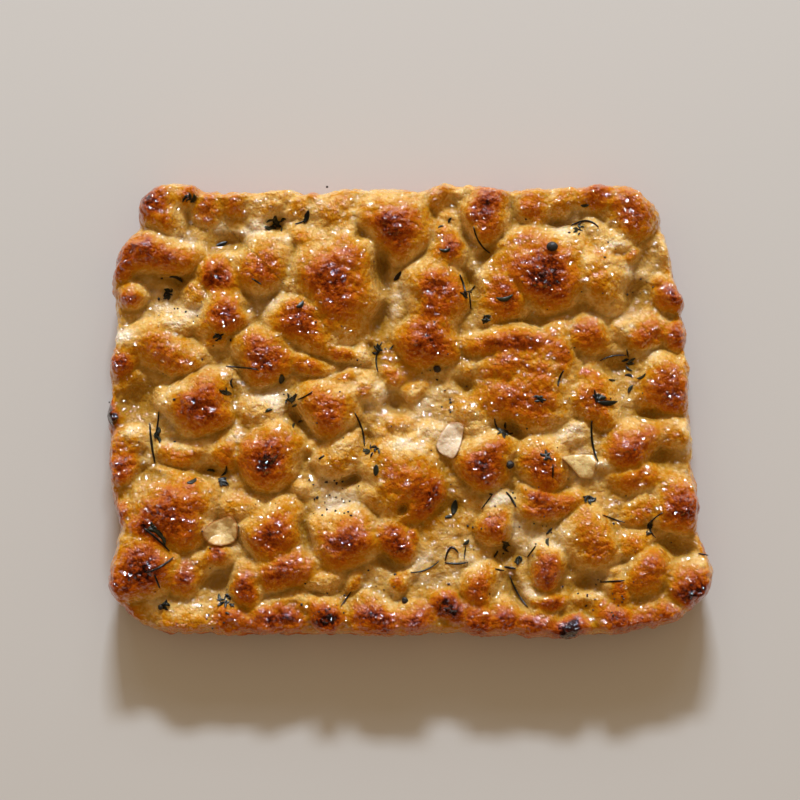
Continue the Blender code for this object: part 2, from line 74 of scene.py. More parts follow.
# Bubbles, in millimetres: place, width, length, height over the crumb level, how toasted the crest is,
# from 0, cream, through 0.3, golden, 0.5, orange, and 0.8, brown, to 1, burnt, and the turn in degrees
# where it isn't 0.
BUBBLES = [Bubble(*row) for row in (
    (-132, 107, 26, 28, 13, 0.67), (-118, 115, 17, 14, 9, 0.51), (-105, 108, 15, 18, 7, 0.38),
    (-92, 111, 19, 15, 8, 0.34), (-73, 110, 22, 18, 9, 0.3), (-57, 104, 13, 14, 7, 0.34),
    (-51, 112, 11, 11, 6, 0.55), (-38, 103, 25, 27, 10, 0.3), (-32, 116, 12, 9, 5, 0.51),
    (-8, 98, 33, 33, 15, 0.71), (-21, 89, 13, 14, 8, 0.59), (4, 112, 13, 13, 6, 0.15),
    (17, 112, 15, 19, 8, 0.34), (29, 114, 11, 13, 6, 0.15), (42, 105, 20, 28, 14, 0.67),
    (57, 117, 8, 7, 4, 0.83), (67, 109, 20, 20, 9, 0.51), (82, 110, 14, 20, 7, 0.34),
    (99, 112, 24, 18, 9, 0.55), (119, 106, 27, 27, 12, 0.55), (133, 102, 10, 14, 6, 0.46),
    (137, 90, 7, 7, 4, 0.38), (105, 90, 22, 15, 8, 0.1, -15), (65, 99, 16, 9, 5, 0.1),
    (24, 99, 14, 10, 5, 0.25), (-54, 88, 22, 13, 8, 0.46, -20), (-78, 99, 12, 13, 6, 0.05),
    (-133, 82, 42, 18, 12, 0.51, -4), (-149, 80, 18, 20, 10, 0.63), (-157, 69, 8, 11, 5, 0.46),
    (-146, 60, 15, 14, 9, 0.55), (-99, 68, 21, 20, 10, 0.59), (-114, 61, 12, 14, 7, 0.38),
    (-97, 50, 24, 22, 12, 0.59), (-94, 78, 14, 9, 6, 0.1), (-122, 46, 22, 13, 6, 0.08, 10),
    (-76, 78, 27, 27, 12, 0.51), (-38, 70, 37, 48, 17, 0.66), (-61, 62, 18, 13, 8, 0.3, -20),
    (-56, 45, 34, 22, 12, 0.71, -25), (-39, 31, 26, 9, 8, 0.55, -30), (19, 83, 18, 22, 11, 0.55),
    (14, 62, 28, 30, 14, 0.59), (11, 38, 27, 26, 13, 0.67), (72, 74, 46, 36, 15, 0.71, -5),
    (57, 86, 24, 13, 10, 0.55, 12), (49, 60, 27, 27, 12, 0.55), (101, 69, 28, 30, 12, 0.3),
    (116, 81, 9, 10, 6, 0.46), (109, 70, 6, 6, 3, 0.34), (137, 60, 17, 15, 8, 0.59),
    (138, 79, 12, 20, 6, 0.3, 15), (-128, 31, 38, 20, 10, 0.42, -12), (-113, 27, 13, 13, 7, 0.3),
    (-152, 27, 13, 13, 6, 0.46), (-148, 35, 14, 9, 5, 0.1), (-157, 3, 7, 17, 5, 0.87),
    (-109, 3, 29, 26, 14, 0.71), (-124, 3, 13, 14, 7, 0.15), (-129, 7, 7, 7, 5, 0.2),
    (-98, 14, 13, 10, 6, 0.2), (-76, 30, 28, 25, 12, 0.71, -10), (-100, 36, 12, 12, 6, 0.42),
    (-54, 23, 24, 11, 7, 0.51, -15), (-42, 1, 29, 24, 13, 0.59, 10), (-35, 14, 17, 10, 7, 0.46),
    (-24, 9, 13, 13, 8, 0.34), (-16, 8, 9, 9, 6, 0.15), (-26, 26, 16, 10, 5, 0.1), (-9, 18, 12, 8, 5, 0.46),
    (-77, -1, 20, 17, 7, 0.25), (-72, -25, 28, 28, 14, 0.79), (-96, -25, 15, 16, 7, 0.46),
    (-92, -16, 13, 10, 5, 0.1), (-34, -24, 25, 22, 10, 0.34), (-52, -19, 8, 8, 5, 0.38),
    (-44, -19, 7, 7, 5, 0.3), (-17, -15, 9, 9, 6, 0.15), (-8, -9, 15, 13, 7, 0.2), (5, 11, 11, 10, 5, 0.15),
    (34, -3, 14, 19, 7, 0.15), (62, 8, 46, 36, 11, 0.59), (58, 34, 46, 17, 13, 0.63, -3),
    (79, 32, 16, 26, 11, 0.55), (30, 22, 10, 8, 5, 0.3), (98, 4, 24, 24, 10, 0.51), (92, 16, 10, 9, 6, 0.46),
    (136, 12, 25, 24, 10, 0.67), (144, 22, 10, 11, 5, 0.46), (128, 39, 20, 15, 8, 0.55),
    (143, 38, 12, 17, 7, 0.59), (94, 38, 20, 16, 8, 0.51), (118, 45, 20, 12, 5, 0.12, 10),
    (117, -18, 27, 23, 11, 0.59), (138, -13, 19, 15, 7, 0.34), (136, -19, 8, 8, 5, 0.3),
    (120, -37, 26, 14, 8, 0.46), (-149, -18, 18, 14, 6, 0.34), (-149, -30, 15, 14, 7, 0.55),
    (-117, -22, 24, 12, 6, 0.46), (-123, -52, 36, 32, 14, 0.59, -25), (-140, -82, 35, 31, 13, 0.79),
    (-149, -55, 15, 14, 7, 0.55), (-116, -86, 20, 20, 8, 0.55), (-102, -79, 13, 13, 8, 0.51),
    (-84, -90, 16, 19, 8, 0.63), (-118, -109, 27, 16, 6, 0.3), (-86, -51, 22, 14, 7, 0.25, 10),
    (-70, -64, 27, 27, 12, 0.67), (-64, -83, 29, 20, 9, 0.59), (-33, -68, 33, 27, 12, 0.67),
    (-8, -67, 18, 23, 9, 0.67), (-4, -36, 33, 38, 13, 0.34), (-22, -37, 9, 10, 5, 0.15),
    (-17, -46, 20, 15, 8, 0.34), (41, -27, 25, 27, 13, 0.75), (8, -15, 18, 12, 5, 0.08),
    (70, -28, 25, 23, 11, 0.59), (66, -45, 18, 10, 8, 0.75), (72, -50, 32, 14, 8, 0.59),
    (84, -14, 17, 11, 6, 0.15), (105, -29, 11, 8, 5, 0.1), (7, -48, 16, 20, 9, 0.59),
    (46, -61, 17, 18, 9, 0.55), (46, -49, 14, 10, 5, 0.1), (2, -66, 8, 9, 5, 0.71),
    (-57, -44, 12, 9, 5, 0.12), (123, -52, 17, 14, 7, 0.46), (141, -50, 27, 26, 11, 0.71),
    (95, -69, 25, 25, 11, 0.46), (117, -70, 20, 15, 7, 0.42), (124, -86, 23, 20, 10, 0.46),
    (110, -93, 13, 14, 7, 0.59), (107, -84, 11, 8, 6, 0.3), (72, -81, 16, 19, 11, 0.63),
    (38, -92, 16, 20, 8, 0.46), (20, -105, 15, 14, 7, 0.63), (35, -109, 18, 17, 7, 0.59),
    (72, -99, 20, 10, 6, 0.55), (82, -116, 22, 11, 7, 0.87), (150, -90, 24, 25, 10, 0.79),
    (153, -71, 10, 9, 5, 0.46), (-43, -107, 16, 15, 9, 0.79), (-28, -92, 9, 8, 5, 0.38),
    (-44, -89, 18, 12, 6, 0.2), (-53, -103, 20, 9, 5, 0.08), (-18, -109, 30, 19, 7, 0.51),
    (-3, -88, 9, 12, 5, 0.46), (50, -110, 17, 18, 6.5, 0.46), (97, -101, 17, 9, 4, 0.1),
    (-70, -110, 28, 18, 6, 0.55), (132, -107, 28, 17, 6, 0.46), (13, 50, 24, 24, 13, 0.59),
    (60, 22, 46, 22, 11.5, 0.55), (-36, 48, 28, 26, 9, 0.3), (-95, -111, 20, 16, 5.5, 0.46),
    (1, -110, 20, 18, 7, 0.55), (65, -111, 18, 17, 6.5, 0.5), (110, -110, 24, 17, 6.5, 0.5),
    (-134, -66, 24, 20, 11, 0.75),
)]

# Patches of crust more or less toasted than what is round them: place, width, length, change and turn.
PATCHES = [Patch(*row) for row in (
    (-139, 108, 16, 24, 0.22, 15), (-143, 82, 16, 14, 0.22), (-116, 82, 16, 8, 0.08),
    (-100, 66, 14, 10, 0.16), (-97, 50, 16, 12, 0.08, -20), (-120, 52, 18, 16, -0.1),
    (-148, 37, 14, 8, -0.16), (-152, 23, 12, 14, 0.28), (-74, 3, 24, 20, -0.1), (-92, 93, 20, 8, -0.05),
    (-93, 103, 12, 12, 0.16), (-107, 104, 10, 16, 0.16), (-78, 111, 16, 12, -0.1), (-128, 93, 24, 6, -0.14),
    (-39, 75, 26, 30, 0.1), (-7, 98, 20, 18, 0.04), (-30, 111, 22, 9, 0.18, -20), (5, 108, 10, 12, -0.1),
    (41, 109, 13, 12, 0.16), (42, 97, 20, 12, -0.16), (20, 85, 13, 9, 0.12), (20, 76, 16, 8, -0.14),
    (14, 58, 22, 30, 0.08), (49, 60, 20, 18, 0.08), (50, 30, 26, 8, 0.16), (76, 76, 26, 24, 0.14, -30),
    (100, 86, 24, 12, 0.12), (106, 88, 8, 5, -0.2), (120, 108, 24, 14, 0.14, -30), (100, 114, 34, 8, 0.14),
    (137, 60, 16, 14, 0.1), (133, 82, 14, 20, -0.05), (105, 48, 14, 8, -0.12), (118, 50, 18, 8, -0.12),
    (141, 41, 10, 14, 0.1), (97, 16, 18, 7, 0.16, -20), (143, 8, 10, 16, 0.16), (-152, -28, 14, 12, 0.16),
    (-149, -14, 14, 9, -0.2), (-157, 0, 8, 20, 0.3), (-122, -56, 24, 20, 0.12, -30),
    (-133, -63, 15, 12, 0.2, -30), (-147, -76, 20, 16, 0.06), (-150, -58, 14, 14, 0.12),
    (-140, -90, 28, 10, 0.12), (-117, -88, 18, 14, 0.12), (-100, -78, 14, 8, 0.16), (-86, -93, 12, 14, 0.1),
    (-68, -78, 28, 16, 0.06), (-118, -106, 22, 7, -0.06), (-82, -108, 30, 12, 0.16),
    (-62, -111, 24, 10, 0.16), (-147, -106, 20, 12, 0.35, -45), (-35, -22, 20, 16, -0.12),
    (-40, -48, 24, 9, -0.2), (-35, -66, 22, 14, 0.1, -20), (0, -19, 22, 9, -0.24), (-4, -32, 20, 12, 0.18),
    (8, -43, 15, 13, 0.3), (11, -53, 14, 10, 0.12), (46, -49, 14, 7, -0.16), (36, -92, 15, 16, 0.12),
    (-22, -109, 34, 12, 0.2), (20, -106, 34, 14, 0.2), (50, -107, 26, 12, 0.12), (-15, -95, 20, 7, -0.16),
    (10, -91, 20, 7, -0.1), (68, -44, 42, 10, 0.1), (83, -14, 18, 7, -0.12), (103, -28, 10, 6, -0.12),
    (115, -15, 24, 15, 0.06), (142, -45, 24, 15, 0.08), (96, -68, 22, 18, -0.06), (80, -100, 26, 12, 0.12),
    (81, -116, 20, 8, 0.3), (110, -108, 40, 11, 0.16), (60, -112, 26, 9, 0.14), (151, -52, 7, 40, 0.12),
    (148, -96, 18, 12, 0.1, 30),
)]

# Dimples: place, width, length, depth and turn.
DIMPLES = [Dimple(*row) for row in (
    (-97, 86, 20, 13, 6), (-120, 68, 16, 10, 4), (-27, 90, 10, 9, 4), (-14, 72, 11, 28, 7, -8),
    (-86, 54, 9, 10, 4), (81, 99, 12, 8, 5), (118, 60, 17, 17, 7), (-6, 4, 13, 13, 6),
    (30, 12, 15, 8, 5, -15), (52, -12, 15, 12, 7, -30), (109, 23, 18, 17, 7), (127, -3, 16, 10, 5),
    (135, -28, 15, 12, 5), (-142, 3, 24, 24, 6), (-133, -36, 24, 12, 5), (-103, -35, 17, 9, 5),
    (-61, -8, 10, 15, 6), (-31, -39, 16, 6, 6), (-54, -66, 8, 16, 6), (-3, -51, 8, 8, 7),
    (-11, -80, 18, 9, 6), (-98, -93, 13, 14, 5), (48, -79, 15, 13, 7), (57, -97, 8, 24, 5, 32),
    (95, -93, 17, 12, 6), (138, -74, 20, 12, 5), (33, 66, 9, 16, 5), (43, 82, 14, 8, 4),
    (-69, 95, 13, 10, 4), (21, -54, 13, 13, 4), (-15, 47, 10, 28, 6, 8), (-22, -18, 10, 14, 5),
    (-18, 27, 8, 14, 4),
)]

# Thyme tufts, in millimetres: place, how far the leaves reach, and how many there are.
TUFTS = [
    (-115, 110, 8, 6), (-127, 61, 8, 6), (-70, 98, 14, 9), (30, 60, 8, 6), (40, 46, 8, 6), (90, 94, 9, 6),
    (-100, 37, 7, 5), (-96, 8, 6, 4), (-98, -39, 9, 6), (-62, 5, 8, 7), (-16, 31, 9, 7), (-19, -22, 11, 8),
    (68, 4, 6, 5), (50, -12, 10, 7), (72, -26, 9, 6), (99, 5, 9, 6), (-95, -102, 16, 9), (51, -72, 6, 6),
    (57, -80, 5, 3), (94, -47, 8, 6), (126, -63, 9, 6), (-127, -103, 6, 3), (-132, -14, 9, 5),
    (117, 24, 9, 4), (-133, -63, 6, 3),
]

# Single leaves, in millimetres and degrees: place, length, width and turn from the X axis.
LEAVES = [
    (-99, 88, 6, 2.6, 20), (-123, 68, 7, 3.2, -20), (-73, 96, 6, 4, 10), (-54, 101, 7, 3, 70),
    (-57, 54, 5, 2.6, 45), (-6, 70, 6, 3, 50), (19, 83, 6, 2, 5), (22, 99, 3, 1.5, 60), (17, 95, 3, 1.4, 15),
    (50, 58, 9, 2.6, 10), (93, 107, 4, 2, 0), (-92, 13, 5, 1.5, 90), (-113, -38, 5, 3, 30),
    (-104, -33, 4, 1.5, -10), (-97, -33, 6, 1.5, 60), (-60, 1, 3, 1.4, 20), (-60, -9, 3, 1.6, 80),
    (-57, -7, 3, 1.4, 10), (-73, -2, 4, 2, 20), (-67, 15, 4.5, 3.4, 80), (-17, -33, 6, 3.6, 85),
    (122, 17, 5, 2, 30), (116, 17, 4, 2, -20), (117, 10, 5, 2, 60), (107, 15, 4, 1.8, 0),
    (24, -52, 8, 3.6, 80), (21, -57, 4, 2, 10), (-92, -64, 12, 3, 88), (104, 3, 11, 3, 2),
    (73, -70, 4, 2, 85), (30, -70, 4, 2, 40), (-131, -68, 13, 3, -42), (-128, -104, 5, 2.4, -15),
]

# Rosemary needles and thin stalks, in millimetres: the points that each passes through.
STALKS = [
    [(34, 95), (39, 85), (43, 82)], [(-82, 67), (-77, 64)], [(-96, 22), (-87, 21), (-78, 19)],
    [(-131, -2), (-132, -9), (-133, -16)], [(-136, -8), (-135, -18), (-133, -29)],
    [(-28, -3), (-25, -9), (-23, -20)], [(-47, -27), (-44, -25)], [(-10, 31), (-8, 33)],
    [(81, 19), (79, 15), (78, 11)], [(101, 25), (110, 28), (115, 28)], [(115, 31), (116, 27)],
    [(96, -7), (96, -14), (99, -28)], [(44, -45), (41, -49), (38, -53)], [(51, -44), (54, -48), (56, -52)],
    [(19, -80), (23, -73), (26, -76)], [(19, -81), (25, -81.5), (30, -81)], [(29, -79), (30, -72)],
    [(1, -86), (8, -85), (16, -80)], [(72, -66), (75, -63)], [(62, -78), (66, -72)],
    [(53, -88), (57, -97), (62, -104)], [(101, -56), (107, -58), (113, -60)], [(151, -76), (156, -77)],
    [(100, -91), (106, -90.5), (112, -90)], [(-122, -78), (-130, -84), (-136, -86)],
    [(-131, -87), (-129, -94)], [(-30, -96), (-35, -103)], [(27, 70), (29, 65), (30, 60)],
    [(35, 65), (32, 61)], [(32, 61), (33, 52)], [(86, 97), (92, 99), (98, 98), (100, 95)],
    [(-58, 4), (-54, 5.5), (-50, 8)], [(-14, 35), (-17, 27), (-16, 19)], [(45, -6), (49, -13), (55, -13)],
    [(75, -30), (75, -37)], [(97, 9), (98, 2)], [(45, -78), (47, -75)], [(45, -84), (50, -85)],
    [(50, -83), (56, -84)], [(132, -55), (126, -63), (129, -68)], [(-60, 97), (-55, 99)],
    [(-137, -63), (-131, -68), (-124, -75)],
]

# Whole peppercorns, in millimetres: place and size.
PEPPERCORNS = [(75, 83.5, 5.2), (15, 20.5, 4.6), (53, -30, 4.4), (-2, -100.5, 3.6), (-129, -104, 2.6)]

# Cracked pepper, in millimetres: single flecks, and patches given by place, reach and count.
FLECKS = [
    (-30, 25.5), (-27, 25), (-25, 23), (126, 67), (129, 64), (119, 62), (123, 61.5), (105, 87),
    (-144, -12), (-141, -18), (-130, -33), (-104, -108), (-108, -103), (-96, -112), (-105, -110),
    (-43, 117), (22, 3), (84, 5), (-16.5, -100), (-17, -93), (-7, -87), (-21, -85), (-13, -95),
    (93, -98), (106, -97), (97, -100), (109, -103), (106, -108), (102, -32), (-9, -10), (-102, -115),
    (17, -118), (-154, 22), (-157, 3),
]
FLECK_PATCHES = [(-38, -48, 12, 26), (-45, -100, 12, 12), (20, 8, 14, 10), (-120, 52, 12, 10),
                 (100, -100, 12, 12), (60, -70, 30, 16), (0, 0, 140, 90)]

# Garlic, in millimetres: thickness over the crust, depth of its creases, and outline.
GARLIC = {
    "garlic_chip": (3.0, 0.25, [
        (80, -26.5), (81, -25.5), (86.5, -24.6), (95.5, -24.6), (97.1, -25.6), (97.7, -30), (97.1, -35),
        (95.5, -37), (91, -37), (89, -36), (85, -31.5), (80.5, -27.6)]),
    "garlic_slice": (1.8, 0.6, [
        (14.6, -20), (15.6, -16), (18.6, -11), (21.5, -7.8), (26, -7.6), (28.6, -9.6), (28.4, -14),
        (27.2, -19), (25.2, -24), (22.8, -26.6), (19.5, -25.6), (16, -23)]),
    "garlic_curl": (2.2, 0.4, [
        (-107, -66), (-104, -61), (-98, -58), (-92, -57), (-89, -63), (-91, -70), (-99, -72),
        (-105, -70)]),
}


def a_length(name, description, default):
    """A length in metres."""
    return FloatProperty(
        name=name, description=description, default=default, subtype="DISTANCE", unit="LENGTH")


def an_angle(name, description, degrees):
    """An angle, its default given in degrees."""
    return FloatProperty(
        name=name, description=description, default=math.radians(degrees), subtype="ANGLE",
        unit="ROTATION")


def a_number(name, description, default):
    """A plain number."""
    return FloatProperty(name=name, description=description, default=default)


def a_colour(name, description, default):
    """A colour in linear light."""
    return FloatVectorProperty(name=name, description=description, default=default, subtype="COLOR")


class LoafSettings(bpy.types.PropertyGroup):
    """Sizes and colours of the loaf. The first group repeats the solid's own sizes."""

    crumb_level: a_length("Crumb Level", "Top of the bread between its bubbles", 0.023)
    shoulder_out: a_length(
        "Shoulder Width", "How far in from the side the top edge starts to roll down", 0.0045)
    shoulder_down: a_length("Shoulder Drop", "How far down the side wall starts", 0.008)
    wall_draft: a_length("Wall Draft", "How much the wall leans in towards its foot", 0.0025)
    foot_radius: a_length("Foot Radius", "Rounding of the lower edge", 0.003)
    cells_along: IntProperty(name="Cells Along", description="Cells of the top grid along X", default=306)
    cells_across: IntProperty(name="Cells Across", description="Cells of the top grid along Y", default=234)
    blister_height: a_length("Blister Height", "Height of the small blisters on the crests", 0.0011)
    wrinkle_height: a_length("Wrinkle Height", "Height of the wrinkles in the skin", 0.0005)
    cream: a_colour("Cream", "Skin that stayed pale", (0.92, 0.76, 0.53))
    straw: a_colour("Straw", "Skin just coloured", (0.84, 0.53, 0.16))
    golden: a_colour("Golden", "Golden flanks", (0.63, 0.26, 0.005))
    amber: a_colour("Amber", "Orange crust", (0.57, 0.152, 0.002))
    russet: a_colour("Russet", "Orange-brown crust", (0.44, 0.082, 0.002))
    brown: a_colour("Brown", "Brown crests", (0.25, 0.031, 0.001))
    mahogany: a_colour("Mahogany", "Darkest crests", (0.09, 0.009, 0.002))
    burnt: a_colour("Burnt", "Charred spots", (0.030, 0.006, 0.003))
    # Olive is partly oil-soaked crust and partly painted shade in the hollows, creases and dimples.
    olive_oil_and_shade: a_colour("Olive", "Oil-soaked crust in the hollows", (0.36, 0.165, 0.004))


class ToppingSettings(bpy.types.PropertyGroup):
    """Sizes and colours of what is baked onto the crust."""

    leaf_thickness: a_length("Leaf Thickness", "Thickness of a thyme leaf", 0.0006)
    stalk_thickness: a_length("Stalk Thickness", "Width of a needle or stalk", 0.0011)
    fleck_size: a_length("Fleck Size", "Width of a fleck of cracked pepper", 0.0009)
    leaf_dark: a_colour("Dark Leaf", "Baked herb", (0.007, 0.006, 0.003))
    leaf_green: a_colour("Green Leaf", "Herb that kept its green", (0.040, 0.038, 0.014))
    stalk_colour: a_colour("Stalk", "Baked needles and stalks", (0.014, 0.008, 0.003))
    garlic_pale: a_colour("Pale Garlic", "Garlic flesh", (0.90, 0.67, 0.30))
    garlic_glassy: a_colour("Glassy Garlic", "Garlic cut so thin that it turned glassy", (0.86, 0.67, 0.46))
    garlic_toasted: a_colour("Toasted Garlic", "Browned edge of the garlic", (0.42, 0.16, 0.03))
    pepper: a_colour("Pepper", "Cracked black pepper", (0.014, 0.010, 0.008))


class StageSettings(bpy.types.PropertyGroup):
    """Camera, light and floor."""

    lens: a_number("Lens", "Focal length in millimetres", 85.0)
    distance: a_length("Camera Distance", "From the camera to the middle of the bread", 0.992)
    elevation: an_angle("Camera Elevation", "Camera angle over the floor", 85.5)
    light_elevation: an_angle("Light Elevation", "Angle of the window light over the floor", 29)
    window_width: a_length("Window Width", "Side to side", 3.0)
    window_height: a_length("Window Height", "Bottom to top", 1.2)
    window_distance: a_length("Window Distance", "From the bread to the window", 4.0)
    window_strength: a_number("Window Strength", "Soft light of the whole window", 0.8)
    pane_width: a_length("Pane Width", "Side to side, of the brightest part of the window", 0.85)
    pane_height: a_length("Pane Height", "Bottom to top, of the brightest part of the window", 0.28)
    pane_strength: a_number("Pane Strength", "Light of the brightest part of the window", 3.2)
    light_colour: a_colour("Light Colour", "Window light", (0.82, 0.90, 1.0))
    room_colour: a_colour("Room Colour", "Soft light from all round", (0.41, 0.295, 0.18))
    floor_colour: a_colour("Floor Colour", "Plain pale floor", (0.62, 0.61, 0.59))


# ---------------------------------------------------------------------------------------------------------
# Patterns in the plane

LATTICE = 512  # random values along each side of a lattice, past which it repeats


def lattice(seed):
    """A table of random numbers between 0 and 1, the same on each run."""
    return np.random.default_rng(seed).random((LATTICE, LATTICE))


def grain(u, v, size, seed):
    """Smooth noise between -1 and 1.

    Random values stand on a square lattice of the given size, turned a little, and are joined along
    each axis by the smoothstep 3t^2 - 2t^3.
    """
    table = lattice(seed)
    u, v = 0.8 * u + 0.6 * v + 7.3, 0.8 * v - 0.6 * u + 3.1
    column, row = np.floor(u / size), np.floor(v / size)
    s, t = u / size - column, v / size - row
    s, t = s * s * (3 - 2 * s), t * t * (3 - 2 * t)
    i, j = column.astype(int) % LATTICE, row.astype(int) % LATTICE
    next_i, next_j = (i + 1) % LATTICE, (j + 1) % LATTICE
    near = table[j, i] * (1 - s) + table[j, next_i] * s
    far = table[next_j, i] * (1 - s) + table[next_j, next_i] * s
    return (near * (1 - t) + far * t) * 2 - 1


def rough_grain(u, v, size, seed, octaves=3):
    """Noise with finer noise on it: each octave has half the size and just over half the height."""
    total = sum(grain(u, v, size / 2**k, seed + k) * 0.55**k for k in range(octaves))
    return total / sum(0.55**k for k in range(octaves))


def domes(u, v, size, seed, cover):
    """Small blisters from 0 to 1, one to a lattice cell at most.

    A cell holds a blister with the chance cover. Its centre, radius and height are random, and its
    outline is the cap 1 - (d/r)^2 raised to 0.7, of which the highest at each place counts, so that
    sharp creases run between neighbours.
    """
    table = [lattice(seed + k) for k in range(4)]
    column, row = np.floor(u / size), np.floor(v / size)
    best = np.zeros_like(u)
    for di in (-1, 0, 1):
        for dj in (-1, 0, 1):
            i, j = (column + di).astype(int) % LATTICE, (row + dj).astype(int) % LATTICE
            centre_u = (column + di + 0.15 + 0.7 * table[0][j, i]) * size
            centre_v = (row + dj + 0.15 + 0.7 * table[1][j, i]) * size
            radius = size * (0.45 + 0.45 * table[2][j, i])
            height = (0.35 + 0.65 * table[2][j, i]) * (table[3][j, i] < cover)
            cap = 1 - ((u - centre_u) ** 2 + (v - centre_v) ** 2) / radius**2
            best = np.maximum(best, height * np.clip(cap, 0, 1) ** 0.7)
    return best


def smooth_step(value, low, high):
    """0 below low and 1 above high, joined by 3t^2 - 2t^3."""
    t = np.clip((value - low) / (high - low), 0, 1)
    return t * t * (3 - 2 * t)


# ---------------------------------------------------------------------------------------------------------
# The crust's height and bake

BLEND = 1.0            # how softly one bubble runs into the next, in millimetres
CORE_SHARE, CORE_WIDTH, CORE_POWER, CORE_ROUNDNESS = 0.75, 1.38, 2.2, 0.70  # a bubble's steep core
SKIRT_SHARE, SKIRT_WIDTH = 0.3, 1.9                                         # and the broad skirt under it
DIMPLE_SHARPNESS = 1.6
RIM_PUSH = 0.12        # share of a bubble's height that pushes the side wall out
SMOOTHING_SPAN = 45 * MM  # stretch of rim over which its outward direction is averaged
SKIN_DEPTH = 2.0 * MM  # how far the side wall is set back to make room for its own skin
WANDER = 1.8           # how far bubble outlines stray from true ovals
# Painted light and shade: the toasted cap moves to each bubble's front side, away from the window, leaving its
# back side paler.
SHADE_SIDE_SHIFT = 0.12     # how far the toasted cap lies in front of a bubble's middle, in bubble lengths
CAP_SIZE = 0.86        # how much of a bubble its toasted cap covers, in bubble radii
BROAD_BUBBLE = 24      # millimetres, past which the cap covers less and less of a bubble
CAP_SHARPNESS = 2.2    # how abruptly a cap or a patch ends
RAGGED = 4.5           # how far the outline of a cap or a patch strays, in millimetres
GROUND_TOAST, GROUND_SPREAD = 0.21, 0.24  # toast between the bubbles, and how much it varies
FRONT_TOAST, END_TOAST = 0.10, 0.08    # how much more the front rim and the two ends are toasted


def oval_radius(x, y, oval):
    """Distance from an oval's middle in units of its own radius, 1 on its outline. Millimetres."""
    turn = math.radians(oval.turn)
    u = (x - oval.x) * math.cos(turn) + (y - oval.y) * math.sin(turn)
    v = (y - oval.y) * math.cos(turn) - (x - oval.x) * math.sin(turn)
    return np.hypot(u / (oval.across / 2), v / (oval.along / 2))


def bake(x, y):
    """Relief, crown, toast and oil-and-hollow shade of the crust at places in millimetres.

    Relief is the solid's own height field over the crumb level: each bubble is a steep core on a broad
    skirt, both bells of the oval radius, joined by a soft maximum, the logarithm of a sum of
    exponentials, less a bell for each dimple. The same exponentials weigh how far up a crest a place is
    (crown) and how toasted it is, which falls off from a crest as a bell with a ragged outline. Each
    patch adds a bell of its own to that, and the front rim and the two ends are toasted a little more.
    Oil-and-hollow shade grows where the relief is low and in the dimples: painted shade, partly oil-soaked
    crust.
    """
    wave_x = x + WANDER * (np.sin(y / 5.3 + 0.7) + 0.6 * np.sin(x / 7.9 + y / 9.7))
    wave_y = y + WANDER * (np.sin(x / 6.1 + 2.1) + 0.6 * np.sin(y / 8.3 - x / 11.9))
    ragged_x = wave_x + RAGGED * rough_grain(x, y, size=9.0, seed=11, octaves=4)
    ragged_y = wave_y + RAGGED * rough_grain(x, y, size=9.0, seed=21, octaves=4)
    swell = np.sin(x / 13.0 + 1.0) * np.sin(y / 11.0) + 0.5 * np.sin(x / 7.0 - y / 6.0)
    weight = np.exp(swell / BLEND)
    ground_toast = GROUND_TOAST + GROUND_SPREAD * rough_grain(x, y, size=16.0, seed=26)
    total, crown, toast = weight.copy(), np.zeros_like(x), weight * ground_toast
    for bubble in BUBBLES:
        radius = oval_radius(wave_x, wave_y, bubble)
        core = CORE_SHARE * np.clip(1 - (radius / CORE_WIDTH) ** CORE_POWER, 0, 1) ** CORE_ROUNDNESS
        skirt = SKIRT_SHARE * np.exp(-((radius / SKIRT_WIDTH) ** 2))
        weight = np.exp(bubble.rise * (core + skirt) / BLEND) - 1
        # The cap is set towards the front: painted shade on each bubble's front side, a paler painted
        # highlight on its back.
        ragged = oval_radius(ragged_x, ragged_y + SHADE_SIDE_SHIFT * bubble.along, bubble)
        cap_size = CAP_SIZE * min(1, BROAD_BUBBLE / math.sqrt(bubble.across * bubble.along)) ** 0.4
        cap = np.exp(-((ragged / cap_size) ** CAP_SHARPNESS))
        total += weight
        crown += weight * cap
        toast += weight * (ground_toast + (bubble.toast - ground_toast) * cap)
    relief = BLEND * np.log(total)
    fallen = np.zeros_like(x)
    for dimple in DIMPLES:
        bell = np.exp(-DIMPLE_SHARPNESS * oval_radius(wave_x, wave_y, dimple) ** 2)
        relief -= dimple.depth * bell
        fallen = np.maximum(fallen, bell)
    crown, toast = crown / total, toast / total
    for patch in PATCHES:
        toast += patch.change * np.exp(-(oval_radius(ragged_x, ragged_y, patch) ** CAP_SHARPNESS))
    toast += (FRONT_TOAST * smooth_step(-ragged_y, 99, 113)
              + END_TOAST * smooth_step(np.abs(ragged_x), 142, 157))
    # Low places and dimples get the olive mix, kept off the crests: painted shade, partly oil-soaked crust.
    hollow = np.clip(0.55 - 0.55 * smooth_step(relief, -1.0, 3.5) + 0.9 * fallen, 0, 1) * (1 - crown)
    return relief, crown, toast, hollow


def skin(u, v, crown):
    """Fine relief of the skin in metres, for unrolled places in millimetres.

    Lumps and blisters of four sizes and a wrinkle, a little stronger on the crests than in the hollows.
    """
    loaf = bpy.context.scene.loaf_settings
    rough = 0.7 + 0.3 * smooth_step(crown, 0.05, 0.6)
    bent_u = u + 2.0 * grain(u, v, size=7.0, seed=36)
    bent_v = v + 2.0 * grain(u, v, size=7.0, seed=37)
    lumps = (domes(bent_u, bent_v, size=15.0, seed=31, cover=0.8) * 1.8
             + domes(bent_u + 3.3, bent_v, size=8.0, seed=41, cover=0.75) * 1.3)
    blisters = (domes(bent_u, bent_v + 1.7, size=4.4, seed=46, cover=0.75) * 0.9
                + domes(u, v + 1.7, size=2.7, seed=51, cover=0.8) * 0.5)
    wrinkles = rough_grain(u, v, size=4.5, seed=61)
    return loaf.blister_height * rough * (lumps + blisters) + loaf.wrinkle_height * wrinkles


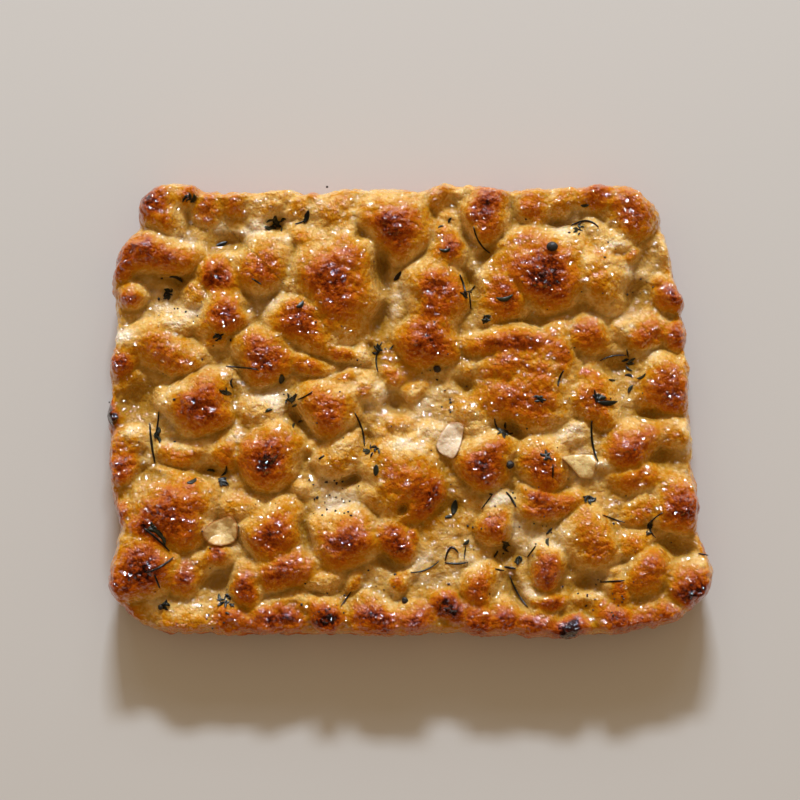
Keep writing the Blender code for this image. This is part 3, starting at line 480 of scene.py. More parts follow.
def soften(field, reach):
    """A grid blurred with a bell of the given reach in cells, along its rows and then its columns."""
    steps = np.arange(-3 * reach, 3 * reach + 1)
    bell = np.exp(-((steps / reach) ** 2) / 2)
    bell /= bell.sum()
    rows, columns = field.shape
    wide = np.pad(field, 3 * reach, mode="edge")
    wide = sum(share * wide[:, k:columns + k] for k, share in enumerate(bell))
    return sum(share * wide[k:rows + k] for k, share in enumerate(bell))


def crust_height(x, y):
    """Height of the finished crust over the floor, in metres, for places in metres."""
    x, y = np.asarray(x) / MM, np.asarray(y) / MM
    relief, crown, _, _ = bake(x, y)
    return bpy.context.scene.loaf_settings.crumb_level + relief * MM + skin(x, y, crown)


# ---------------------------------------------------------------------------------------------------------
# Mesh making


def closed_curve(points, steps=16):
    """A closed Catmull-Rom curve through the points, steps places to a span, as an (n, 2) array."""
    knots = np.array(points, float)
    before, after, beyond = np.roll(knots, 1, 0), np.roll(knots, -1, 0), np.roll(knots, -2, 0)
    t = (np.arange(steps) / steps)[None, :, None]
    a, b, c, d = (p[:, None, :] for p in (before, knots, after, beyond))
    curve = 0.5 * (2 * b + (c - a) * t + (2 * a - 5 * b + 4 * c - d) * t**2
                   + (3 * b - a - 3 * c + d) * t**3)
    return curve.reshape(-1, 2)


def along_curve(curve, shares):
    """Places on a closed curve at the given shares of its length."""
    loop = np.vstack([curve, curve[:1]])
    length = np.concatenate([[0.0], np.cumsum(np.linalg.norm(np.diff(loop, axis=0), axis=1))])
    length /= length[-1]
    shares = np.mod(shares, 1.0)
    return np.column_stack([np.interp(shares, length, loop[:, k]) for k in (0, 1)])


def add_piece(name, vertices, quads, triangles, material, slot, replaced=(), **attributes):
    """Put a mesh into the scene as one smooth piece at the origin, riding on the loaf's body."""
    faces = np.vstack([quads, np.column_stack([triangles, np.full(len(triangles), -1)])]) \
        if len(triangles) else quads
    sizes = np.where(faces[:, 3] < 0, 3, 4)
    corners = faces.reshape(-1)
    corners = corners[corners >= 0]
    mesh = bpy.data.meshes.new(name)
    mesh.vertices.add(len(vertices))
    mesh.vertices.foreach_set("co", np.ascontiguousarray(vertices, np.float32).reshape(-1))
    mesh.loops.add(len(corners))
    mesh.loops.foreach_set("vertex_index", corners.astype(np.int32))
    mesh.polygons.add(len(faces))
    mesh.polygons.foreach_set("loop_start", (np.cumsum(sizes) - sizes).astype(np.int32))
    mesh.update(calc_edges=True)
    for key, values in attributes.items():
        layer = mesh.attributes.new(key, "FLOAT", "POINT")
        layer.data.foreach_set("value", np.ascontiguousarray(values, np.float32))
    mesh.validate()
    mesh.shade_smooth()
    mesh.materials.append(material)
    piece = bpy.data.objects.new(name, mesh)
    bpy.context.scene.collection.objects.link(piece)
    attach(piece, "root")
    if replaced:
        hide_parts(*replaced)
    return piece


def grid_quads(number):
    """Quads of a grid of vertex numbers, wound the way that rows and columns grow."""
    return np.stack([number[:-1, :-1], number[:-1, 1:], number[1:, 1:], number[1:, :-1]], -1).reshape(-1, 4)


# ---------------------------------------------------------------------------------------------------------
# The crust

SHOULDER_STEPS, WALL_STEPS, FOOT_STEPS = 12, 7, 4  # rings of the side
DENSE = 2000                                       # places tried when the rim's corners are looked for
BROAD_REACH, FINE_REACH = 10, 2                    # cells over which the top is softened to find its bumps
WALL_TAN, WALL_MOTTLE = 0.47, 0.2                  # how toasted the side wall is, and how unevenly
RIM_TAN_SHARE = 0.35                               # share of the rim's own toast that the wall takes on
FOOT_TAN, FOOT_BAND = 0.12, 4 * MM                 # more toast at the tray, and how far up that reaches


def rim_places(count_along, count_across):
    """The rim, counter-clockwise from the front left corner, evenly spaced along each of its sides."""
    curve = closed_curve(RIM)[::-1] * MM
    dense = along_curve(curve, np.arange(DENSE) / DENSE)
    half = np.abs(dense).max(axis=0)
    angle = np.arctan2(dense[:, 1] / half[1], dense[:, 0] / half[0])
    corners = [np.abs(angle - math.radians(a)).argmin() / DENSE for a in (-135, -45, 45, 135)]
    shares = []
    for side, count in enumerate([count_along, count_across] * 2):
        start = corners[side]
        span = (corners[(side + 1) % 4] - start) % 1.0
        shares.append(start + span * np.arange(count) / count)
    return along_curve(curve, np.concatenate(shares))


def outward(rim):
    """The unit direction out of the rim in plan, averaged along a stretch so that it turns slowly."""
    step = np.linalg.norm(np.diff(rim, axis=0), axis=1).mean()
    reach = int(SMOOTHING_SPAN / 2 / step)
    tangent = np.roll(rim, -1, 0) - np.roll(rim, 1, 0)
    tangent = sum(np.roll(tangent, k, 0) for k in range(-reach, reach + 1))
    normal = np.column_stack([tangent[:, 1], -tangent[:, 0]])
    return normal / np.linalg.norm(normal, axis=1, keepdims=True)


def top_grid(border, along_cells, across_cells):
    """Plan places of the top grid: the border scaled towards the middle, ring by square ring."""
    u, v = np.meshgrid(np.linspace(-1, 1, along_cells + 1), np.linspace(-1, 1, across_cells + 1))
    size = np.maximum(np.maximum(np.abs(u), np.abs(v)), 1e-9)
    along, across = (u / size + 1) / 2 * along_cells, (v / size + 1) / 2 * across_cells
    place = np.select(
        [v <= -size, u >= size, v >= size],
        [along, along_cells + across, 2 * along_cells + across_cells - along],
        2 * (along_cells + across_cells) - across)
    index = np.arange(len(border))
    return [np.interp(place, index, border[:, k], period=len(border)) * size for k in (0, 1)]


def side_profile(loaf):
    """Steps down the side as rows: reach out of the border, height, share of the relief, tilt, arc length.

    The shoulder is a quarter of an ellipse, the wall leans in, and the foot is a quarter of a circle.
    Tilt is the angle of the surface's own direction from straight up.
    """
    rows = []
    for angle in np.linspace(0, math.pi / 2, SHOULDER_STEPS + 1)[1:]:
        height = loaf.crumb_level - loaf.shoulder_down * (1 - math.cos(angle))
        rows.append((loaf.shoulder_out * math.sin(angle), height, 1.0, angle))
    wall_top = loaf.crumb_level - loaf.shoulder_down
    for share in np.linspace(0, 1, WALL_STEPS + 1)[1:]:
        height = wall_top + (loaf.foot_radius - wall_top) * share
        rows.append((loaf.shoulder_out - loaf.wall_draft * share, height, 1 - 0.8 * share, math.pi / 2))
    foot = loaf.shoulder_out - loaf.wall_draft - loaf.foot_radius
    for angle in np.linspace(0, math.pi / 2, FOOT_STEPS + 1)[1:]:
        out = foot + loaf.foot_radius * math.cos(angle)
        keep = 0.2 * (1 - angle / (math.pi / 2))
        rows.append((out, loaf.foot_radius * (1 - math.sin(angle)), keep, math.pi / 2 + angle))
    rows = np.array(rows)
    steps = np.diff(np.vstack([[0, loaf.crumb_level], rows[:, :2]]), axis=0)
    return np.column_stack([rows, np.cumsum(np.linalg.norm(steps, axis=1))])


def make_crust(loaf):
    """The loaf's skin: a grid over the top, rings down the shoulder, wall and foot, and a flat base."""
    rim = rim_places(loaf.cells_along, loaf.cells_across)
    out = outward(rim)
    border = rim - out * loaf.shoulder_out
    x, y = (plan.reshape(-1) for plan in top_grid(border, loaf.cells_along, loaf.cells_across))
    relief, crown, toast, hollow = bake(x / MM, y / MM)
    height = loaf.crumb_level + relief * MM + skin(x / MM, y / MM, crown)
    field = height.reshape(loaf.cells_across + 1, loaf.cells_along + 1) / MM
    swelling = (field - soften(field, BROAD_REACH)).reshape(-1)
    crease = (soften(field, FINE_REACH) - field).reshape(-1)
    toast = toast + 0.03 * np.clip(swelling, -3, 4) * smooth_step(toast, 0.1, 0.4)
    # Creases get more of the olive mix and swellings less: painted shade in the creases.
    hollow = np.clip(hollow * 0.85 - 0.12 * swelling + 0.35 * crease, 0, 1) * (1 - 0.6 * crown)
    vertices = [np.column_stack([x, y, height])]
    looks = [np.column_stack([crown, toast, hollow, np.ones_like(crown)])]

    for reach, level, share, tilt, arc in side_profile(loaf):
        plan = border + out * reach
        relief, crown, toast, hollow = bake(plan[:, 0] / MM, plan[:, 1] / MM)
        push = relief * MM * share
        unrolled = (border + out * arc) / MM
        side = smooth_step(math.sin(tilt) if tilt < math.pi / 2 else 1.0, 0.86, 1.0)
        fade = min(1.0, level / loaf.foot_radius)
        fine = skin(unrolled[:, 0], unrolled[:, 1], crown * (1 - 0.5 * side)) * fade
        bulge = push * RIM_PUSH * math.sin(min(tilt, math.pi / 2))
        bulge = bulge + (fine - SKIN_DEPTH * fade) * math.sin(tilt)
        plan = plan + out * bulge[:, None]
        rise = push * max(0, math.cos(tilt)) + fine * max(0, math.cos(tilt))
        vertices.append(np.column_stack([plan, level + rise]))
        mottle = rough_grain(unrolled[:, 0], unrolled[:, 1] * 0.6, size=14.0, seed=71)
        tan = RIM_TAN_SHARE * toast + WALL_TAN + WALL_MOTTLE * mottle
        tan += FOOT_TAN * math.exp(-((level / FOOT_BAND) ** 2))
        looks.append(np.column_stack([
            crown * (1 - side), toast * (1 - side) + tan * side, hollow * (1 - side),
            np.full_like(crown, 1 - side)]))
    vertices.append(np.zeros((1, 3)))
    looks.append(np.array([[0.0, 0.5, 0.0, 0.0]]))

    count, top_count = len(rim), len(x)
    number = np.arange(top_count).reshape(loaf.cells_across + 1, loaf.cells_along + 1)
    quads = [grid_quads(number)]
    edge = np.concatenate([number[0, :-1], number[:-1, -1], number[-1, :0:-1], number[:0:-1, 0]])
    for k in range(len(vertices) - 2):
        lower = top_count + k * count + np.arange(count)
        quads.append(np.column_stack([edge, lower, np.roll(lower, -1), np.roll(edge, -1)]))
        edge = lower
    middle = np.full(count, top_count + (len(vertices) - 2) * count)
    base = np.column_stack([np.roll(edge, -1), edge, middle])
    looks = np.vstack(looks)
    return add_piece("crust", np.vstack(vertices), np.vstack(quads), base, crust_material(loaf), "crust",
                     ["loaf"], crown=looks[:, 0], toast=looks[:, 1], hollow=looks[:, 2], oil=looks[:, 3])


# ---------------------------------------------------------------------------------------------------------
# Garlic, herbs and pepper

GARLIC_RINGS, GARLIC_SECTORS = 16, 96
GARLIC_SINK = 0.4 * MM      # how far a garlic piece's lower side sinks in
LEAF_LENGTH = (1.8, 4.6)    # least and most, of a tuft's leaves, in millimetres
LEAF_SHAPE = (0.34, 0.6)    # least and most width, in leaf lengths
SIDES = 8                   # of a leaf's, needle's or stalk's section


def make_garlic(name, thickness, wrinkle, outline, material, slot):
    """A baked piece of garlic: a plate that lies along the crust, thick in the middle, with a round edge.

    Each place is the outline scaled by s towards its middle. The upper side stands over the crust by
    the thickness times 1 - 0.35 s^6, with creases from fine noise, and the lower side sinks a little
    into it.
    """
    rings, sectors = GARLIC_RINGS, GARLIC_SECTORS
    edge = along_curve(closed_curve(outline) * MM, np.arange(sectors) / sectors)
    area = np.sum(edge[:, 0] * np.roll(edge[:, 1], -1) - np.roll(edge[:, 0], -1) * edge[:, 1])
    edge = edge[::-1] if area < 0 else edge
    middle = edge.mean(axis=0)
    size = np.sin(np.linspace(0, math.pi / 2, rings + 1)[1:])
    plan = np.vstack([middle[None], (middle + (edge - middle) * size[:, None, None]).reshape(-1, 2)])
    s = np.concatenate([[0.0], np.repeat(size, sectors)])
    around = [crust_height(plan[:, 0] + a * MM, plan[:, 1] + b * MM)
              for a, b in ((0, 0), (2, 0), (-2, 0), (0, 2), (0, -2))]
    seat = np.mean(around, axis=0) * 0.5 + np.max(around, axis=0) * 0.5
    crease = rough_grain(*(plan.T / MM), size=2.6, seed=81) * wrinkle * MM
    upper = seat + thickness * MM * (1 - 0.35 * s**6) + crease
    lower = seat - GARLIC_SINK
    vertices = np.vstack([np.column_stack([plan, upper]), np.column_stack([plan, lower])])
    half = len(plan)
    ring = 1 + np.arange(rings * sectors).reshape(rings, sectors)
    ring = np.column_stack([ring, ring[:, :1]])
    top, bottom = grid_quads(ring)[:, ::-1], grid_quads(ring + half)
    fan = np.column_stack([np.zeros(sectors, int), ring[0, :-1], ring[0, 1:]])
    wall = np.column_stack([ring[-1, :-1], ring[-1, :-1] + half, ring[-1, 1:] + half, ring[-1, 1:]])
    triangles = np.vstack([fan, fan[:, ::-1] + half])
    mottle = rough_grain(*(plan.T / MM), size=4, seed=91)
    toast = 0.10 + 0.65 * smooth_step(s, 0.86, 1.0) + 0.25 * mottle
    return add_piece(name + "_flesh", vertices, np.vstack([top, bottom, wall]), triangles, material, slot,
                     [name], toast=np.concatenate([toast, toast]))


def crust_normal(x, y, reach=1.5 * MM):
    """The crust's own direction, averaged over a few millimetres, as an (n, 3) array."""
    dx = (crust_height(x + reach, y) - crust_height(x - reach, y)) / (2 * reach)
    dy = (crust_height(x, y + reach) - crust_height(x, y - reach)) / (2 * reach)
    normal = np.stack([-dx, -dy, np.ones_like(dx)], -1)
    return normal / np.linalg.norm(normal, axis=-1, keepdims=True)


def lay_strands(plan, width, thickness, lift, curl):
    """Closed strands of oval section laid along the crust, as vertices, quads and end triangles.

    plan is (strands, stations, 2) in metres. width and thickness are (strands, stations). The middle
    line follows the crust, smoothed along the strand because it is stiff, at lift above it, and its ends
    stand up by curl times the square of the distance from its middle. At each station the section is an
    ellipse in the plane of the crust's normal and the sideways direction, its margins bent down.
    """
    strands, stations = plan.shape[:2]
    x, y = plan[..., 0].reshape(-1), plan[..., 1].reshape(-1)
    ground = crust_height(x, y).reshape(strands, stations)
    padded = np.pad(ground, ((0, 0), (2, 2)), mode="edge")
    stiff = sum(padded[:, k:k + stations] for k in range(5)) / 5
    s = np.linspace(-1, 1, stations)[None, :]
    level = np.maximum(stiff, ground - 0.1 * MM) + lift[:, None] + curl[:, None] * s**2
    line = np.dstack([plan, level])
    tangent = np.gradient(line, axis=1)
    tangent /= np.linalg.norm(tangent, axis=-1, keepdims=True)
    normal = crust_normal(x, y).reshape(strands, stations, 3).mean(axis=1, keepdims=True)
    sideways = np.cross(normal, tangent)
    sideways /= np.linalg.norm(sideways, axis=-1, keepdims=True)
    upward = np.cross(tangent, sideways)
    angle = np.arange(SIDES) * 2 * math.pi / SIDES
    across, over = np.cos(angle), np.sin(angle) - 0.9 * np.cos(angle) ** 2
    section = (line[:, :, None]
               + sideways[:, :, None] * (width[..., None] * across / 2)[..., None]
               + upward[:, :, None] * (thickness[..., None] * over / 2)[..., None])
    ends = line[:, [0, -1]]
    body = section.reshape(strands, stations * SIDES, 3)
    vertices = np.concatenate([body, ends], axis=1).reshape(-1, 3)
    size = stations * SIDES + 2
    ring = np.arange(stations * SIDES).reshape(stations, SIDES)
    ring = np.column_stack([ring, ring[:, :1]])
    quads = grid_quads(ring)
    start = np.column_stack([np.full(SIDES, size - 2), ring[0, 1:], ring[0, :-1]])
    stop = np.column_stack([np.full(SIDES, size - 1), ring[-1, :-1], ring[-1, 1:]])
    offset = (np.arange(strands) * size)[:, None, None]
    quads = (quads[None] + offset).reshape(-1, 4)
    triangles = (np.vstack([start, stop])[None] + offset).reshape(-1, 3)
    return vertices, quads, triangles


def make_thyme(topping):
    """Every thyme leaf: single ones, and tufts whose leaves point out from a middle."""
    random = np.random.default_rng(5)
    leaves = [list(leaf) for leaf in LEAVES]
    for x, y, reach, count in TUFTS:
        first = random.uniform(0, 360)
        for k in range(count + 3):
            side = first + 360 * k / count + random.uniform(-60, 60)
            out = reach / 2 * random.uniform(0.0, 0.65)
            length = random.uniform(*LEAF_LENGTH)
            leaves.append([x + out * math.cos(math.radians(side)), y + out * math.sin(math.radians(side)),
                           length, length * random.uniform(*LEAF_SHAPE), side + random.uniform(-60, 60)])
    x, y, length, width, turn = np.array(leaves, float).T
    turn = np.radians(turn)
    stations = 8
    s = np.linspace(-1, 1, stations)[None, :]
    bend = random.uniform(-0.25, 0.25, len(x))[:, None] * length[:, None] * (1 - s**2)
    along = s * length[:, None] / 2
    plan = np.stack([x[:, None] + along * np.cos(turn)[:, None] - bend * np.sin(turn)[:, None],
                     y[:, None] + along * np.sin(turn)[:, None] + bend * np.cos(turn)[:, None]], -1) * MM
    outline = np.sin(np.linspace(0.12, math.pi - 0.08, stations)) ** 0.8
    leaf_width = width[:, None] * outline[None, :] * MM
    leaf_thickness = topping.leaf_thickness * (0.35 + 0.65 * outline[None, :]) * np.ones_like(leaf_width)
    lift = random.uniform(0.25, 0.6, len(x)) * MM
    curl = random.uniform(0.0, 0.9, len(x)) * MM
    vertices, quads, triangles = lay_strands(plan, leaf_width, leaf_thickness, lift, curl)
    green = np.repeat(random.uniform(0, 1, len(x)), stations * SIDES + 2)
    material = herb_material("thyme", topping.leaf_dark, topping.leaf_green)
    return add_piece("thyme", vertices, quads, triangles, material, "herbs", green=green)


def make_stalks(topping):
    """Needles and stalks: thin strands along smooth curves through their points."""
    stations = 12
    plan = []
    for points in STALKS:
        points = np.array(points, float)
        length = np.concatenate([[0], np.cumsum(np.linalg.norm(np.diff(points, axis=0), axis=1))])
        t = np.linspace(0, length[-1], stations)
        degree = min(2, len(points) - 1)
        plan.append(np.column_stack([np.polyval(np.polyfit(length, points[:, k], degree), t)
                                     for k in (0, 1)]))
    plan = np.array(plan) * MM
    random = np.random.default_rng(6)
    taper = np.sin(np.linspace(0.25, math.pi - 0.2, stations)) ** 0.5
    width = topping.stalk_thickness * random.uniform(0.7, 1.3, len(plan))[:, None] * taper[None, :]
    lift = random.uniform(0.3, 0.6, len(plan)) * MM
    curl = random.uniform(0.0, 0.8, len(plan)) * MM
    vertices, quads, triangles = lay_strands(plan, width, width * 0.75, lift, curl)
    green = np.repeat(random.uniform(0, 1, len(plan)), stations * SIDES + 2)
    material = herb_material("stalk", topping.stalk_colour, topping.leaf_dark)
    return add_piece("needles", vertices, quads, triangles, material, "herbs", green=green)


def pebbles(x, y, size, rows, columns, seed, sink, squash, rough):
    """Closed rough pebbles on the crust: spheres whose radius is multiplied by 1 plus random waves.

    Each is squashed upright, then sunk into the crust by the share sink of its height.
    """
    random = np.random.default_rng(seed)
    count = len(x)
    polar = np.linspace(0, math.pi, rows + 2)[1:-1]
    azimuth = np.arange(columns) * 2 * math.pi / columns
    polar, azimuth = (a.reshape(-1) for a in np.meshgrid(polar, azimuth, indexing="ij"))
    unit = np.column_stack([np.sin(polar) * np.cos(azimuth), np.sin(polar) * np.sin(azimuth), np.cos(polar)])
    unit = np.vstack([unit, [[0, 0, 1], [0, 0, -1]]])
    waves = np.ones((count, len(unit)))
    for k in range(5):
        way = random.normal(size=(count, 3)) * (2.0 + 1.5 * k)
        waves += rough / (1 + k) * np.sin(way @ unit.T + random.uniform(0, 6.28, (count, 1)))
    stretch = random.uniform(0.75, 1.25, (count, 1, 3)) * np.array([1, 1, squash])
    shape = unit[None] * waves[..., None] * stretch * (size / 2)[:, None, None]
    ground = crust_height(x, y)
    centre = np.column_stack([x, y, ground + size * squash / 2 * (1 - 2 * sink)])
    vertices = (shape + centre[:, None]).reshape(-1, 3)
    total = len(unit)
    ring = np.arange(rows * columns).reshape(rows, columns)
    ring = np.column_stack([ring, ring[:, :1]])
    quads = grid_quads(ring)[:, ::-1]
    cap = np.column_stack([np.full(columns, total - 2), ring[0, :-1], ring[0, 1:]])
    foot = np.column_stack([np.full(columns, total - 1), ring[-1, 1:], ring[-1, :-1]])
    offset = (np.arange(count) * total)[:, None, None]
    return (vertices, (quads[None] + offset).reshape(-1, 4),
            (np.vstack([cap, foot])[None] + offset).reshape(-1, 3))


def make_pepper(topping):
    """Cracked pepper: the flecks given one by one, and patches of them scattered at random."""
    random = np.random.default_rng(7)
    places = [np.array(FLECKS, float)]
    for x, y, reach, count in FLECK_PATCHES:
        spread = random.uniform(-1, 1, (count, 2)) * (reach, min(reach, 100))
        places.append(spread + (x, y))
    places = np.vstack(places) * MM
    size = topping.fleck_size * random.uniform(0.6, 1.5, len(places))
    vertices, quads, triangles = pebbles(
        *places.T, size, rows=3, columns=6, seed=8, sink=0.25, squash=0.6, rough=0.3)
    material = plain_spice_material("pepper", topping.pepper)
    return add_piece("pepper", vertices, quads, triangles, material, "pepper")


def make_peppercorns(topping):
    """Whole peppercorns: wrinkled spheres, a fifth sunk into the crust."""
    x, y, size = np.array(PEPPERCORNS, float).T * MM
    vertices, quads, triangles = pebbles(
        x, y, size, rows=22, columns=32, seed=9, sink=0.2, squash=0.9, rough=0.05)
    material = plain_spice_material("peppercorn", topping.pepper)
    return add_piece("peppercorns", vertices, quads, triangles, material, "pepper")


# ---------------------------------------------------------------------------------------------------------
# Materials


class Graph:
    """Adds nodes to a material and joins them."""

    def __init__(self, name):
        self.material = bpy.data.materials.new(name)
        self.material.use_nodes = True
        self.tree = self.material.node_tree
        self.shader = self.tree.nodes["Principled BSDF"]

    def add(self, kind, **values):
        """A node with its inputs, by name, set to a number or joined to another node's output."""
        node = self.tree.nodes.new("ShaderNode" + kind)
        settings = values.pop("settings", {})
        for key, value in settings.items():
            setattr(node, key, value)
        for key, value in values.items():
            self.plug(node.inputs[key.replace("_", " ")], value)
        return node

    def plug(self, socket, value):
        if isinstance(value, bpy.types.NodeSocket):
            self.tree.links.new(value, socket)
        else:
            socket.default_value = value

    def math(self, operation, first, second=0.0, third=0.0):
        node = self.tree.nodes.new("ShaderNodeMath")
        node.operation = operation
        for socket, value in zip(node.inputs, (first, second, third)):
            self.plug(socket, value)
        return node.outputs[0]

    def mix(self, share, first, second):
        node = self.tree.nodes.new("ShaderNodeMix")
        node.data_type = "RGBA"
        self.plug(node.inputs[0], share)
        self.plug(node.inputs[6], first)
        self.plug(node.inputs[7], second)
        return node.outputs[2]

    def attribute(self, name):
        node = self.tree.nodes.new("ShaderNodeAttribute")
        node.attribute_name = name
        return node.outputs["Fac"]

    def place(self):
        return self.tree.nodes.new("ShaderNodeTexCoord").outputs["Object"]

    def noise(self, place, scale, detail=2.0, roughness=0.55):
        node = self.add("TexNoise", Vector=place, Scale=scale, Detail=detail, Roughness=roughness)
        return node.outputs["Fac"]

    def warp(self, place, scale, reach):
        """The place shifted by soft noise, up to half the reach each way."""
        shift = self.add("TexNoise", Vector=place, Scale=scale, Detail=1.0).outputs["Color"]
        centred = self.add("VectorMath", settings={"operation": "SUBTRACT"})
        self.plug(centred.inputs[0], shift)
        self.plug(centred.inputs[1], (0.5, 0.5, 0.5))
        moved = self.add("VectorMath", settings={"operation": "MULTIPLY_ADD"})
        self.plug(moved.inputs[0], centred.outputs[0])
        self.plug(moved.inputs[1], (reach, reach, reach))
        self.plug(moved.inputs[2], place)
        return moved.outputs[0]

    def cells(self, place, scale):
        return self.add("TexVoronoi", Vector=place, Scale=scale).outputs["Distance"]

    def ramp(self, value, stops):
        """A colour ramp through (place, colour) stops."""
        node = self.tree.nodes.new("ShaderNodeValToRGB")
        ramp = node.color_ramp
        while len(ramp.elements) < len(stops):
            ramp.elements.new(0.5)
        for element, (at, colour) in zip(ramp.elements, stops):
            element.position = at
            element.color = colour
        self.plug(node.inputs["Fac"], value)
        return node.outputs["Color"]

    def bump(self, height, strength, distance, normal=None):
        node = self.add("Bump", Height=height, Strength=strength, Distance=distance)
        if normal is not None:
            self.plug(node.inputs["Normal"], normal)
        return node.outputs["Normal"]

    def finish(self, **sockets):
        for key, value in sockets.items():
            self.plug(self.shader.inputs[key.replace("_", " ")], value)
        return self.material


def opaque(colour):
    """A colour with full alpha."""
    return (*colour, 1.0)


def crust_material(loaf):
    """Oily baked crust: colour by toast, freckled, painted shade in wrinkle dips and hollows, micro-blisters
    on crests.
    """
    graph = Graph("crust")
    place = graph.place()
    crown, toast, hollow, oil = (graph.attribute(name) for name in ("crown", "toast", "hollow", "oil"))
    mottle = graph.noise(place, scale=230.0, detail=4.0, roughness=0.6)
    freckle = graph.noise(place, scale=800.0, detail=4.0, roughness=0.7)
    bent = graph.warp(place, scale=260.0, reach=0.0016)
    pore = graph.math("POWER", graph.math("MULTIPLY", graph.cells(bent, scale=400.0), 1.5), 2.0)
    wrinkle = graph.noise(bent, scale=480.0, detail=1.0)
    mottle_and_crevice_shade = graph.math("ADD", graph.math("MULTIPLY", graph.math("SUBTRACT", mottle, 0.5), 0.55),
                      graph.math("MULTIPLY", graph.math("SUBTRACT", freckle, 0.5), 0.35))
    # Darker where the wrinkle dips: painted shade in the skin's small crevices.
    mottle_and_crevice_shade = graph.math("MULTIPLY_ADD", graph.math("SUBTRACT", 0.5, wrinkle), 0.5, mottle_and_crevice_shade)
    mottle_and_crevice_shade = graph.math("MULTIPLY", mottle_and_crevice_shade, graph.math("MULTIPLY_ADD", toast, 1.3, 0.15))
    shade = graph.math("ADD", toast, mottle_and_crevice_shade)
    colour = graph.ramp(shade, [
        (0.02, opaque(loaf.cream)), (0.15, opaque(loaf.straw)), (0.30, opaque(loaf.golden)),
        (0.48, opaque(loaf.amber)), (0.64, opaque(loaf.russet)), (0.80, opaque(loaf.brown)),
        (0.92, opaque(loaf.mahogany)), (1.0, opaque(loaf.burnt))])
    # The olive mix: painted shade in hollows, creases and dimples, partly oil-soaked crust.
    oil_and_shade_share = graph.math("MULTIPLY", hollow, 0.8)
    colour = graph.mix(oil_and_shade_share, colour, opaque(loaf.olive_oil_and_shade))
    keep = graph.math("MULTIPLY_ADD", crown, 0.5, 0.5)
    normal = graph.bump(graph.math("SUBTRACT", 1.0, pore), strength=keep, distance=0.0003)
    normal = graph.bump(wrinkle, strength=keep, distance=0.0011, normal=normal)
    ripple = graph.noise(bent, scale=300.0, detail=0.0)
    film = graph.bump(ripple, strength=1.0, distance=0.0036, normal=normal)
    gloss = graph.math("MULTIPLY_ADD", mottle, 0.3, graph.math("MULTIPLY_ADD", oil, -0.25, 0.50))
    return graph.finish(
        Base_Color=colour, Roughness=gloss, Normal=normal, Specular_IOR_Level=0.12,
        Specular_Tint=(1.0, 0.86, 0.62, 1.0), Subsurface_Weight=0.4,
        Subsurface_Radius=(1.0, 0.45, 0.12), Subsurface_Scale=0.0025,
        Coat_Weight=graph.math("MULTIPLY_ADD", oil, 0.85, 0.15), Coat_Roughness=0.04, Coat_IOR=1.8,
        Coat_Normal=film)


def garlic_material(name, pale, toasted, browned):
    """Roasted garlic: pale glassy flesh, browned towards the edge."""
    graph = Graph(name)
    place = graph.place()
    toast = graph.math("ADD", graph.attribute("toast"), browned)
    speckle = graph.math("SUBTRACT", graph.noise(place, scale=500.0, detail=3.0), 0.5)
    toast = graph.math("MULTIPLY_ADD", speckle, 0.5, toast)
    colour = graph.ramp(toast, [(0.2, opaque(pale)), (1.0, opaque(toasted))])
    normal = graph.bump(graph.noise(place, scale=700.0, detail=3.0), strength=0.6, distance=0.0006)
    return graph.finish(
        Base_Color=colour, Roughness=0.34, Normal=normal, Subsurface_Weight=0.35,
        Subsurface_Radius=(1.0, 0.6, 0.3), Subsurface_Scale=0.002, Coat_Weight=0.8, Coat_Roughness=0.08)


def herb_material(name, dark, green):
    """A baked leaf: nearly black, some parts still grey-green, with a waxy shine."""
    graph = Graph(name)
    place = graph.place()
    share = graph.math("MULTIPLY", graph.attribute("green"), graph.noise(place, scale=420.0))
    share = graph.math("MULTIPLY", share, 1.6)
    colour = graph.mix(share, opaque(dark), opaque(green))
    normal = graph.bump(graph.noise(place, scale=900.0), strength=0.5, distance=0.0003)
    return graph.finish(
        Base_Color=colour, Roughness=0.38, Normal=normal, Coat_Weight=0.2, Coat_Roughness=0.3)


def plain_spice_material(name, colour):
    """Black pepper: dark wrinkled rind with paler grey dust in it."""
    graph = Graph(name)
    place = graph.place()
    rind = graph.noise(place, scale=1100.0, detail=3.0, roughness=0.6)
    shade = graph.mix(graph.math("MULTIPLY", rind, 0.6), opaque(colour), (0.08, 0.065, 0.05, 1.0))
    normal = graph.bump(rind, strength=0.8, distance=0.0004)
    return graph.finish(Base_Color=shade, Roughness=0.45, Normal=normal)


# ---------------------------------------------------------------------------------------------------------
# Operators


class FOCACCIA_OT_crust(bpy.types.Operator):
    """Make the blistered crust over the loaf"""

    bl_idname = "focaccia.crust"
    bl_label = "Make Crust"

    def execute(self, context):
        make_crust(context.scene.loaf_settings)
        return {"FINISHED"}


class FOCACCIA_OT_garlic(bpy.types.Operator):
    """Make the three pieces of garlic baked onto the crust"""

    bl_idname = "focaccia.garlic"
    bl_label = "Make Garlic"

    def execute(self, context):
        topping = context.scene.topping_settings
        for name, (thickness, wrinkle, outline) in GARLIC.items():
            browned = 0.35 if name == "garlic_curl" else 0.0
            pale = topping.garlic_glassy if name == "garlic_slice" else topping.garlic_pale
            slot = "browned_garlic" if name == "garlic_curl" else "garlic"
            material = garlic_material(name, pale, topping.garlic_toasted, browned)
            make_garlic(name, thickness, wrinkle, outline, material, slot)
        return {"FINISHED"}


class FOCACCIA_OT_herbs(bpy.types.Operator):
    """Make the thyme leaves, the needles and the stalks"""

    bl_idname = "focaccia.herbs"
    bl_label = "Make Herbs"

    def execute(self, context):
        make_thyme(context.scene.topping_settings)
        make_stalks(context.scene.topping_settings)
        return {"FINISHED"}


class FOCACCIA_OT_pepper(bpy.types.Operator):
    """Make the cracked pepper and the whole peppercorns"""

    bl_idname = "focaccia.pepper"
    bl_label = "Make Pepper"

    def execute(self, context):
        make_pepper(context.scene.topping_settings)
        make_peppercorns(context.scene.topping_settings)
        return {"FINISHED"}


